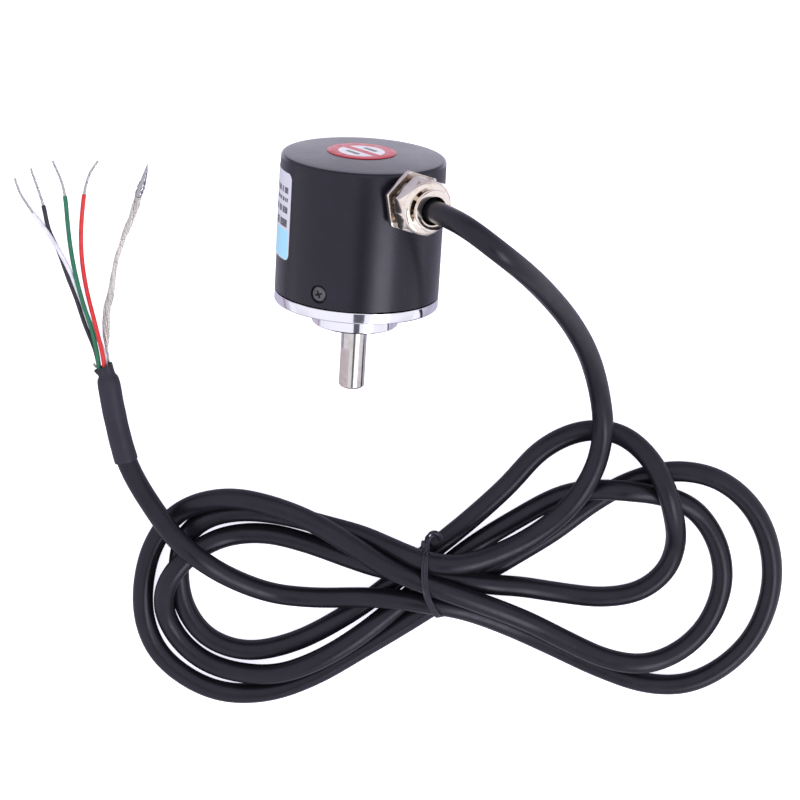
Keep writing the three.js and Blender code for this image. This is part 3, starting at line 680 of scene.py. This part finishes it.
def area_light(name, position, target, size, power, glossy=True):
    """A soft box: size is its width across and its length along Y."""
    data = bpy.data.lights.new(name, "AREA")
    data.shape = "RECTANGLE"
    data.size, data.size_y = size[0] * MM, size[1] * MM
    data.energy = power
    light = bpy.data.objects.new(name, data)
    bpy.context.scene.collection.objects.link(light)
    light.location = Vector(position) * MM
    back = (Vector(position) - Vector(target)).normalized()
    along = (ALONG - back * back.y).normalized()
    light.rotation_mode = "QUATERNION"
    light.rotation_quaternion = Matrix((along.cross(back), along, back)).transposed().to_quaternion()
    light.visible_glossy = glossy


def level_sheet(name, x, y, z, material):
    """A level rectangle of the studio between two values of x and two of y, at height z."""
    corners = [(x[0], y[0], z), (x[1], y[0], z), (x[1], y[1], z), (x[0], y[1], z)]
    sheet = piece(name, corners, [(0, 1, 2, 3)], material, body=None)
    return sheet


def tent():
    """The world as a pale tent: dim low down in front and behind, brighter at both sides, and bright overhead."""
    world = bpy.data.worlds.new("studio")
    bpy.context.scene.world = world
    sky = Tree(world)
    x, _, height = sky.axes(sky.node("TexCoord", "Generated"))
    low = sky.math("ADD", 0.3, sky.product(sky.math("POWER", x, 2.0), 0.85))
    rise = sky.remap(height, 0.03, 0.45)
    light = sky.math("ADD", sky.product(rise, 1.12), sky.product(sky.math("SUBTRACT", 1.0, rise), low))
    seen = sky.product(sky.node("LightPath", "Is Camera Ray"), 1.3)
    background = sky.nodes["Background"].inputs
    sky.put(sky.math("MAXIMUM", light, seen), background["Strength"])
    background["Color"].default_value = (0.93, 0.915, 1.0, 1)


def floor_material():
    """White for the camera. In reflections it is greyer near the object, and glows just behind it."""
    s = Surface("floor", "dcdcde", 0.9, Specular_IOR_Level=0.1, Emission_Color=(0.9, 0.88, 1, 1))
    s.tint(s.noise(60, 2), "dededf")
    path = s.node("LightPath").node.outputs
    x, y, _ = s.axes(s.place)
    beside = s.math("ABSOLUTE", x)
    behind = s.product(s.remap(y, 41 * MM, 30 * MM), s.remap(y, 20 * MM, 26 * MM),
                       s.remap(beside, 60 * MM, 30 * MM))
    s.tint(s.product(s.remap(beside, 130 * MM, 80 * MM), path["Is Glossy Ray"]), "b0aebb")
    glow = s.product(path["Is Glossy Ray"], behind, 1.2)
    s.put(s.math("MULTIPLY_ADD", path["Is Camera Ray"], 0.9, glow), s.inputs["Emission Strength"])
    return s.material


def studio():
    """A white floor under a pale tent, with soft light from above, a strip box at the right and a dark gap overhead."""
    tent()
    area_light("overhead", (0, 100, 1300), (0, -20, 0), (1400, 1400), 5, glossy=False)
    area_light("strip_right", (520, -540, 720), (0, -150, 20), (400, 700), 3.1)
    dark = Surface("dark_card", "0a0a0c", 1.0, Emission_Color=(0.85, 0.9, 1.1, 1), Emission_Strength=0.11)
    card = level_sheet("dark_card", (-30, 165), (-900, -60), 720, dark.material)
    card.visible_camera = card.visible_diffuse = card.visible_shadow = card.visible_transmission = False
    level_sheet("floor", (-1500, 1500), (-1500, 1500), 0, floor_material())
    settings = bpy.context.scene.view_settings
    settings.view_transform = "Standard"
    settings.look = "None"


# ---- the cable and what is on it ----
def gland_line(*stations):
    """Points on the gland's axis at distances from the encoder's axis."""
    return [Vector((0, GLAND_Y, AXIS_Z)) + radial(GLAND_ANGLE) * r for r in stations]


def cable_line():
    """The cable's centre line from inside the gland to just inside the sleeve."""
    route = on_floor([*LEAD, *LOOPS, *TAIL], CABLE_LIES)
    line = smooth_path([*gland_line(15, 22, GLAND_FACE, GLAND_FACE + 6.4), *route, SLEEVE[0], SLEEVE[1]], 1.0)
    line = relaxed(line, 10)
    return line[:nearest(line, SLEEVE[0]) + 3]


def make_cable(line):
    obj = piece("cable", *tube_mesh(line, CABLE_R, 32), SHEATH, "cable_sheath")
    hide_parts("cable_lead", "cable_loops", "cable_tail")
    return sharpen(obj, 50)


def bundle_outline(line, centre, normal, margin):
    """The convex outline, a margin clear of them, of the strands that cross a plane near its centre."""
    side = Vector((normal.y, -normal.x, 0)).normalized()
    rim = []
    for a, b in zip(line, line[1:]):
        da, db = (a - centre).dot(normal), (b - centre).dot(normal)
        if da * db > 0 or (a - centre).length > 25:
            continue
        p = a.lerp(b, da / (da - db)) - centre
        reach = CABLE_R + margin
        slanting_reach = reach / max(abs((b - a).normalized().dot(normal)), 0.5)
        for k in range(48):
            t = tau * k / 48
            rim.append((p.dot(side) + slanting_reach * cos(t), max(p.z + reach * sin(t), 0.3)))
    hull = [rim[i] for i in convex_hull_2d(rim)]
    first = hull.index(min(hull))
    return [centre + side * x + UP * y for x, y in hull[first:] + hull[:first]]


# The tie's cross-section, as (share of the half width, share of the thickness).
TIE_HALF = [(1, 0.15), (0.94, 0.8), (0.8, 1), (0.62, 0.86), (0.3, 0.72), (0.17, 0.98)]
TIE_SECTION = [*((-x, h) for x, h in TIE_HALF), (0, 1.06), *TIE_HALF[::-1], (0.9, 0), (-0.9, 0)]
TIE_CENTRE = Vector((22, -80.3, 0))
TIE_NORMAL = Vector((cos(radians(12)), sin(radians(12)), 0))
TIE_KNOT = [(19.9, -70.2, 14.1), (20.2, -68.6, 14.5), (20.25, -67, 14.7), (20.4, -65.9, 14.9), (20.9, -65.05, 15),
            (21.7, -64.75, 14.9), (22.5, -65.05, 14.5), (23.1, -65.9, 13.7), (23.3, -66.9, 12.8)]


def band_mesh(line, normals, width, thick, closed=False):
    """A flat strip with three low ridges along it, swept along a line with its outer side along the normals."""
    verts, faces, n = [], [], len(TIE_SECTION)
    for i, (p, normal) in enumerate(zip(line, normals)):
        along = tangent(line, i, closed)
        out = (normal - along * normal.dot(along)).normalized()
        across = along.cross(out)
        verts += [p + across * (x * width / 2) + out * (h * thick) for x, h in TIE_SECTION]
    rows = list(range(0, len(verts), n))
    for low, high in zip(rows, rows[1:] + rows[:1] if closed else rows[1:]):
        faces += ring(low, high, n)
    return verts, faces if closed else faces + caps(0, rows[-1], n)


def make_tie(line):
    """The twist tie: a band round the bundle, and its two ends twisted together and folded over at the back."""
    outline = bundle_outline(line, TIE_CENTRE, TIE_NORMAL, 0.12)
    outline = evenly([*outline, outline[0]], 0.5)[:-1]
    middle = sum(outline, Vector()) / len(outline)
    near, far = max(p.y for p in outline), min(p.y for p in outline)

    def bow(p):
        """How far the band leans out of its plane."""
        share = (near - p.y) / (near - far)
        return TIE_NORMAL * (8.5 * (share - 0.42) ** 2 - 1.1)

    round_line = relaxed([p + bow(p) for p in outline], 2)
    bands = [band_mesh(round_line, [p - middle for p in round_line], 1.7, 0.5, closed=True)]
    knot = smooth_path(TIE_KNOT, 0.2)
    for half in (0, 0.5):
        ups = []
        for i, (u, v) in enumerate(frames(knot)):
            turn = tau * (half + 0.12 + 0.9 * i / len(knot))
            ups.append(u * cos(turn) + v * sin(turn))
        bands.append(band_mesh([p + up * 0.16 for p, up in zip(knot, ups)], ups, 1.15, 0.45))
    obj = piece("tie", *joined(*bands), TIE, "tie")
    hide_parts("twist_tie")
    return sharpen(face_outwards(obj), 40)


# The sleeve's outer radius, as (share of the length, radius).
SLEEVE_SWELL = ((0, 2.56), (0.001, 2.7), (0.006, 2.82), (0.03, 2.86), (0.4, 2.8), (0.8, 2.74), (0.85, 2.68),
                (0.875, 2.5), (0.895, 2.16), (0.915, 2.02), (0.94, 2.06), (0.97, 2.26), (1, 2.38))
SLEEVE_SIDES = 48


def make_sleeve():
    """The heat-shrink sleeve: square at the cable's end, drawn in to a neck and a crumpled mouth at the other."""
    line = smooth_path([*SLEEVE, (-59.5, -31.3, 2.75)], 0.25)
    last = len(line) - 1

    def outer(i, a):
        t = i / last
        crumple = max(0.0, (t - 0.83) / 0.17)
        folds = 0.22 * sin(3 * a + 0.7) + 0.13 * sin(5 * a + 2.1) + 0.06 * sin(9 * a)
        ripple = 0.02 * sin(a * 2 + t * 9) + 0.015 * sin(t * 26 + 1)
        return between(SLEEVE_SWELL, t) + folds * crumple * 0.9 + ripple

    verts, faces = tube_mesh(line, outer, SLEEVE_SIDES, close=False)
    rows = [last * SLEEVE_SIDES]
    for j, (p, (u, v)) in enumerate(zip(line[:-10:-1], frames(line)[:-10:-1])):
        rows.append(len(verts))
        for k in range(SLEEVE_SIDES):
            a = tau * k / SLEEVE_SIDES
            verts.append(p + (u * cos(a) + v * sin(a)) * (outer(last - j, a) - 0.3 - 0.05 * j))
    for low, high in zip(rows, rows[1:]):
        faces += ring(low, high, SLEEVE_SIDES)
    faces += caps(0, rows[-1], SLEEVE_SIDES)
    obj = piece("sleeve", verts, faces, SHRINK, "rubber")
    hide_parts("end_sleeve")
    return sharpen(face_outwards(obj), 50)


def strands(line, count, strand_r, lay_r, turns, seed, flatten=1.0, taper=lambda t: 1):
    """Fine strands wound round a line. lay_r is the winding's radius, and taper(t) scales it along the line."""
    draw = random.Random(seed)
    cross = []
    for i in range(len(line)):
        along = tangent(line, i)
        level = along.cross(UP).normalized()
        cross.append((level, level.cross(along)))
    made = []
    for n in range(count):
        phase, reach = tau * n / count + draw.uniform(-0.3, 0.3), lay_r * draw.uniform(0.8, 1.1)
        own_turns = turns * draw.uniform(0.97, 1.03)
        path = []
        for i, (p, (u, v)) in enumerate(zip(line, cross)):
            t = i / (len(line) - 1)
            a = phase + tau * own_turns * t
            r = reach * taper(t)
            path.append(p + u * (cos(a) * r) + v * (sin(a) * r * flatten))
        made.append(tube_mesh(path, strand_r, 6))
    return joined(*made)


BARE_FROM = {"white": 7, "black": 7, "green": 7, "red": 6}  # the wire's point where its insulation ends


def make_wires():
    """Each wire's insulation, as a cord of its own, and its bare twisted end."""
    for name, points in WIRES.items():
        route = on_floor(points, WIRE_LIES)
        line = relaxed(smooth_path(route, 0.4), 6)
        cut = nearest(line, route[BARE_FROM[name]])
        skin_line, bare_line = line[:cut + 1], evenly(line[cut - 1:], 0.2)

        def radius(i, a):
            rounded_end = min(1.0, 0.55 + 0.45 * sqrt(min(1.0, (cut - i) / 0.8 + 0.35)))
            return WIRE_R * rounded_end * (1 + 0.012 * sin(i * 0.7) * sin(a * 2))

        skin = piece(f"wire_{name}_skin", *tube_mesh(skin_line, radius, 20), WIRE_SKINS[name], f"wire_{name}")
        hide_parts(f"wire_{name}")
        sharpen(skin, 50)
        wound = strands(bare_line, 7, 0.105, 0.24, 5, seed=len(name), taper=lambda t: 1 - 0.25 * t)
        bare = piece(f"wire_{name}_strands", *joined(wound, tube_mesh(bare_line, 0.18, 8)), TINNED, "shield")


def make_pigtail():
    """The shield's strands, drawn out and twisted into a flattened tail with a soldered point."""
    line = relaxed(smooth_path(BRAID, 0.35), 6)
    last = len(line) - 1

    def swell(t):
        return between(BRAID_SWELL, t) * (1 + 0.05 * sin(t * 47 + 1))

    twisted = joined(strands(line, 36, 0.085, 0.78, 2.6, seed=5, flatten=0.6, taper=swell),
                     strands(line, 16, 0.09, 0.5, 2.1, seed=8, flatten=0.6, taper=swell),
                     strands(line, 5, 0.07, 0.98, 1.7, seed=12, flatten=0.5, taper=swell),
                     tube_mesh(line, lambda i, a: 0.4 * swell(i / last), 10))
    obj = piece("shield_tail", *twisted, SHIELD, "shield")
    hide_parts("shield_pigtail")
    tip_line = line[int(last * 0.84):]
    tip_last = len(tip_line) - 1
    draw = random.Random(3)
    lumps = [draw.uniform(0.85, 1.12) for _ in tip_line]

    def solder(i, a):
        return between(SOLDER_SWELL, i / tip_last) * lumps[i] * (1 + 0.06 * sin(3 * a + i))

    tip = piece("solder_tip", *tube_mesh(tip_line, solder, 16), SOLDER, "shield")
    loose_end = smooth_path([(-60.6, -31.9, 2.2), (-61.4, -31.5, 2.3), (-61.8, -30.9, 2.2)], 0.15)
    stub = piece("shield_stub", *strands(loose_end, 9, 0.07, 0.28, 0.6, seed=9, flatten=0.6), SHIELD, "shield")


# ---- the encoder ----
FINE = 192


def make_cover():
    """The cup: rounded closed end, a screw recess three times round its open end, and the gland's hole."""
    rim, edge = RIM_TOP + 0.3, 0.8
    inside = at(COVER_END, (0, -1), (17, -1), (17.5, -1.5))
    outer = [*at(rim, (17.5, 0.2), (17.7, 0), (BODY_R - 0.25, 0), (BODY_R - 0.06, 0.07), (BODY_R, 0.3)),
             *at(COVER_END, (BODY_R, -2.6), (BODY_R - 0.03, -2))]
    arc = [(BODY_R - 0.03 - edge * (1 - cos(a)), COVER_END - edge * (1 - sin(a)))
           for a in (tau / 4 * i / 12 for i in range(13))]
    crown = at(COVER_END, (16, -0.01), (12, 0), (0, 0))
    obj = piece("cover_shell", *lathe_mesh([*inside, *outer, *arc, *crown], FINE, on_axis), PAINT, "black_paint")
    recess = [(0, 15), (1.5, 15), (1.5, 17.95), (1.97, 17.95), (2.0, 18.0), (2.0, 18.75), (2.18, 19.02), (2.3, 21),
              (0, 21)]
    tools = [tool(recess, outwards(degrees, SCREW_Y), 48) for degrees in COVER_SCREWS]
    tools.append(tool([(0, 15), (4.2, 15), (4.2, 24), (0, 24)], outwards(GLAND_ANGLE, GLAND_Y)))
    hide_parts("cover")
    return sharpen(boolean(obj, tools), 24)


def make_flange():
    """The flange: bright rim, stepped boss, seal groove and spigot, bearing bore and two circles of tapped holes."""
    profile = [
        (6.8, FACE + 12),
        *at(BOSS_FACE, (6.8, 1), (4.15, 1), (4, 0.85), (4, 0.2), (4.2, 0), (9.65, 0), (10, 0.35)),
        *at(FACE, (10, -0.12), (10.12, 0), (18.55, 0), (18.75, 0.06), (18.95, 0.28), (19, 0.42)),
        *at(RIM_TOP, (19, -0.12), (18.9, 0), (17.2, 0), (17.2, 0.8), (15.8, 0.8), (15.8, 2.2), (17.2, 2.2)),
        *at(FACE, (17.2, 7.7), (16.9, 8), (9, 8), (9, 12)),
    ]
    obj = piece("flange", *lathe_mesh(profile, FINE, on_axis), ALUMINIUM, "aluminium")
    hole = [(0, -0.6), (1.85, -0.6), (1.3, 0.35), *thread(1.45, 1.3, 0.6, 0.5, 12), (1.3, 7), (0, 7.6)]
    tools = []
    for i in range(3):
        for circle, degrees in ((14, 30), (15, 90)):
            middle = radial(degrees + 120 * i) * circle
            tools.append(tool(hole, about_y(middle.x, AXIS_Z + middle.z, FACE), 32))
    for degrees in COVER_SCREWS:
        tools.append(tool([(0, 13), (1.5, 13), (1.5, 19.2), (0, 19.2)], outwards(degrees, SCREW_Y), 32))
    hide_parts("flange_base")
    return sharpen(boolean(obj, tools), 24)


def make_shaft():
    """The shaft, with a milled flat that ends in round corners."""
    front, clip = FACE - 2.9, FACE + 10.8
    profile = [*at(SHAFT_TIP, (0, 0), (2.42, 0), (2.56, 0.05), (2.95, 0.44), (SHAFT_R, 0.56)),
               *at(front, (SHAFT_R, -0.9), (3.6, -0.9), (3.6, -0.3), (SHAFT_R, -0.3)),
               *at(clip, (SHAFT_R, -0.3), (2.6, -0.3), (2.6, 1), (SHAFT_R, 1)),
               *at(FACE, (SHAFT_R, 19.2), (2.8, 19.5), (0, 19.5))]
    obj = piece("drive_shaft", *lathe_mesh(profile, 128, on_axis), STEEL, "stainless", body="rotor")
    axis, out = Vector((0, 0, AXIS_Z)), radial(FLAT_ANGLE)
    side = out.cross(ALONG)
    flat, half_width, end, corner = 2.5, 1.86, SHAFT_TIP + 9.7, 0.85
    outline = [(half_width, SHAFT_TIP - 1)]
    for a in (tau / 2 * (i + 0.5) / 32 for i in range(32)):
        outline.append((copysign(half_width - corner, cos(a)) + corner * cos(a),
                        end - corner + corner * sin(a)))
    outline.append((-half_width, SHAFT_TIP - 1))
    boolean(obj, [prism([axis + out * h + side * x + ALONG * y for h in (flat, 4) for x, y in outline])])
    obj.data.materials.append(MILLED)
    for face in obj.data.polygons:
        if face.normal.dot(out) > 0.999 and (face.center / MM - axis).dot(out) < flat + 0.1:
            face.material_index = len(obj.data.materials) - 1
    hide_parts("shaft")
    return sharpen(obj, 24)


def cross_cutter(place, top, depth, reach, width):
    """A cross recess's tools: two tapered blades and a cone, pointing in from `top`."""
    tools = []
    for turn in (0.35, 0.35 + tau / 4):
        tools.append(prism([place(hypot(x, y), h, atan2(y, x) + turn)
                            for h, r, w in ((top + 0.3, reach, width), (top - depth, reach * 0.45, width * 0.7))
                            for x, y in ((-r, -w), (r, -w), (r, w), (-r, w))]))
    cone = [(0, top + 0.3), (width * 1.5, top + 0.3), (width * 1.2, top - depth * 0.7), (0, top - depth * 1.25)]
    return [*tools, tool(cone, place, 24)]


def make_cover_screws():
    under = 18.05  # the underside of the heads, from the encoder's axis
    profile = [(0, 13.85), (0.7, 13.85), (1.1, 14.4), *thread(1.22, 0.98, 14.6, 0.4, 8, rise=0.2),
               *at(under, (1.2, -0.05), (1.2, 0), (1.62, 0), (1.68, 0.08), (1.68, 0.5), (1.62, 0.62), (1.48, 0.7),
                   (0.8, 0.86), (0, 0.9))]
    for i, degrees in enumerate(COVER_SCREWS):
        place = outwards(degrees, SCREW_Y)
        obj = piece(f"cover_screw_head_{i + 1}", *lathe_mesh(profile, 48, place), BLACK_STEEL, "black_steel")
        boolean(obj, cross_cutter(place, under + 0.9, 0.95, 1.2, 0.27))
        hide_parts(f"cover_screw_{i + 1}")
        sharpen(obj, 28)


def hexagon(across, low, high, place, waist):
    """A tool that is a hexagonal prism, with its flats `across` apart, joined with a round bar of radius `waist`."""
    corner, turn = across / sqrt(3), radians(12)
    flats = prism([place(corner, h, turn + tau * k / 6) for h in (low, high) for k in range(6)])
    return boolean(flats, [tool([(0, 10), (waist, 10), (waist, 40), (0, 40)], place, 128)], "UNION")


def make_gland():
    """The gland's body, its cap with a hexagon that runs into a round shoulder, its gasket and its seal."""
    place = outwards(GLAND_ANGLE, GLAND_Y)
    shell = [(2.8, 13), (3.7, 13), (3.9, 13.2), *thread(3.9, 3.72, 13.5, 0.55, 12), (3.9, 20.3), (7.15, 20.3),
             (7.5, 20.5), (7.5, 21.35), (7.3, 21.6), (5.8, 21.6), (5.8, 23.4), (4.2, 23.4),
             *thread(4.2, 4.02, 23.6, 0.5, 5), (4.1, 26.5), (3.6, 26.5), (3.6, 23.6), (2.8, 23.6)]
    body = piece("gland_nut", *lathe_mesh(shell, 96, place), NICKEL, "nickel")
    boolean(body, [hexagon(13, 18, 24, place, 5.9)], "INTERSECT")
    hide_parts("gland_body")
    sharpen(bevel(body, 0.07, 32), 30)

    nose = [(7.0, 23.6), (7.3, 23.8), (7.3, 25.2), (6.28, 26.7), (6.26, 26.85), (6.15, 27.15), (5.95, 27.4),
            (5.65, 27.58), (5.3, 27.66), (4.95, 27.66), (4.5, 27.72), (4.2, 27.85), (4.05, 28.1), (4.08, 28.35),
            (4.25, 28.52), (4.55, 28.6), (4.72, 28.68), (4.75, 28.85), (4.75, 29.42), (4.66, GLAND_FACE),
            (3.3, GLAND_FACE), (3.2, 29.48), (3.2, 29.25), (3.2, 27.4), (4.5, 26.8), (4.5, 24), (4.6, 23.7)]
    cap = piece("gland_nose", *lathe_mesh(nose, 128, place), NICKEL, "nickel")
    boolean(cap, [hexagon(12.4, 20, 34, place, 6.21)], "INTERSECT")
    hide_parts("gland_cap")
    sharpen(bevel(cap, 0.08, 30), 26)

    washer = rounded([(4.2, 19.32), (5.55, 19.32), (5.6, 19.7), (5.55, 20.08), (4.2, 20.08)], 0.2)
    gasket = piece("gland_washer", *lathe_mesh(washer, 96, place), RUBBER, "rubber")
    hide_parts("gland_gasket")
    sleeve_ring = rounded([(2.82, 24), (3.28, 24), (3.28, 26.1), (2.82, 26.1)], 0.15)
    seal = piece("gland_sealing_ring", *lathe_mesh(sleeve_ring, 64, place), RUBBER, "rubber")
    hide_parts("gland_seal")
    return [body, cap, gasket, seal, frame["nodes"]["gland_lock_nut"]]


def make_side_label():
    """A film wrapped round the cover, with rounded corners. Its UV map is millimetres along the arc and along Y."""
    inner, outer, corner, step, rows = BODY_R + 0.03, BODY_R + 0.12, 1.5, 0.4, 12
    low, high = LABEL_Y
    length = radians(LABEL_ANGLES[1] - LABEL_ANGLES[0]) * outer
    curve = [corner * (1 - cos(tau / 4 * k / 6)) for k in range(7)]
    stations = sorted({*(i * step for i in range(int(length / step) + 1)), *curve, *(length - c for c in curve)})
    verts, uvs, faces = [], [], []
    for radius in (outer, inner):
        for u in stations:
            near = min(u, length - u, corner)
            inset = corner - sqrt(max(0.0, corner ** 2 - (corner - near) ** 2))
            for k in range(rows + 1):
                v = low + inset + (high - low - 2 * inset) * k / rows
                verts.append(on_axis(radius, v, radians(LABEL_ANGLES[0]) + u / outer))
                uvs.append((u, v))
    n, m = len(stations), rows + 1
    for layer in (0, n * m):
        for i in range(n - 1):
            for k in range(rows):
                a = layer + i * m + k
                faces.append((a, a + m, a + m + 1, a + 1) if layer == 0 else (a, a + 1, a + m + 1, a + m))
    rim = [*range(0, n * m, m), *range((n - 1) * m + 1, n * m), *range((n - 2) * m + rows, 0, -m),
           *range(rows - 1, 0, -1)]
    for a, b in zip(rim, rim[1:] + rim[:1]):
        faces.append((a, a + n * m, b + n * m, b))
    obj = piece("label_film", verts, faces, label_film(), "label")
    layer = obj.data.uv_layers.new(name="label")
    for loop in obj.data.loops:
        layer.data[loop.index].uv = uvs[loop.vertex_index]
    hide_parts("side_label")
    return sharpen(face_outwards(obj), 40)


def make_end_sticker():
    profile = at(COVER_END, (0, 0.02), (7.98, 0.02), (8, 0.05), (8, 0.11), *((r, 0.14) for r in (7.94, 6.5, 5, 3, 0)))
    obj = piece("sticker_disc", *lathe_mesh(profile, 128, about_y(*STICKER)), sticker_film(), "red_film")
    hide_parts("end_sticker")
    return sharpen(face_outwards(obj), 40)


def finish_cad_nodes():
    """Gives each CAD node that stays its material by the record's slot, and smooths it between its sharp edges."""
    slots = {s["node"]: s["material_slot"] for s in frame["record"]["subparts"]}
    for name, obj in frame["nodes"].items():
        if obj.hide_render:
            continue
        obj.data.materials.clear()
        obj.data.materials.append(CAD_FINISHES[slots[name]])
        obj.data.shade_smooth()
        obj.modifiers.new("weld", "WELD").merge_threshold = 1e-6
        obj.modifiers.new("edges", "EDGE_SPLIT").split_angle = radians(32)


make_camera()
studio()
centre_line = cable_line()
cable = make_cable(centre_line)
tie = make_tie(centre_line)
sleeve = make_sleeve()
gland = make_gland()
make_wires()
make_pigtail()
make_cover()
make_flange()
make_shaft()
make_cover_screws()
make_side_label()
make_end_sticker()
finish_cad_nodes()
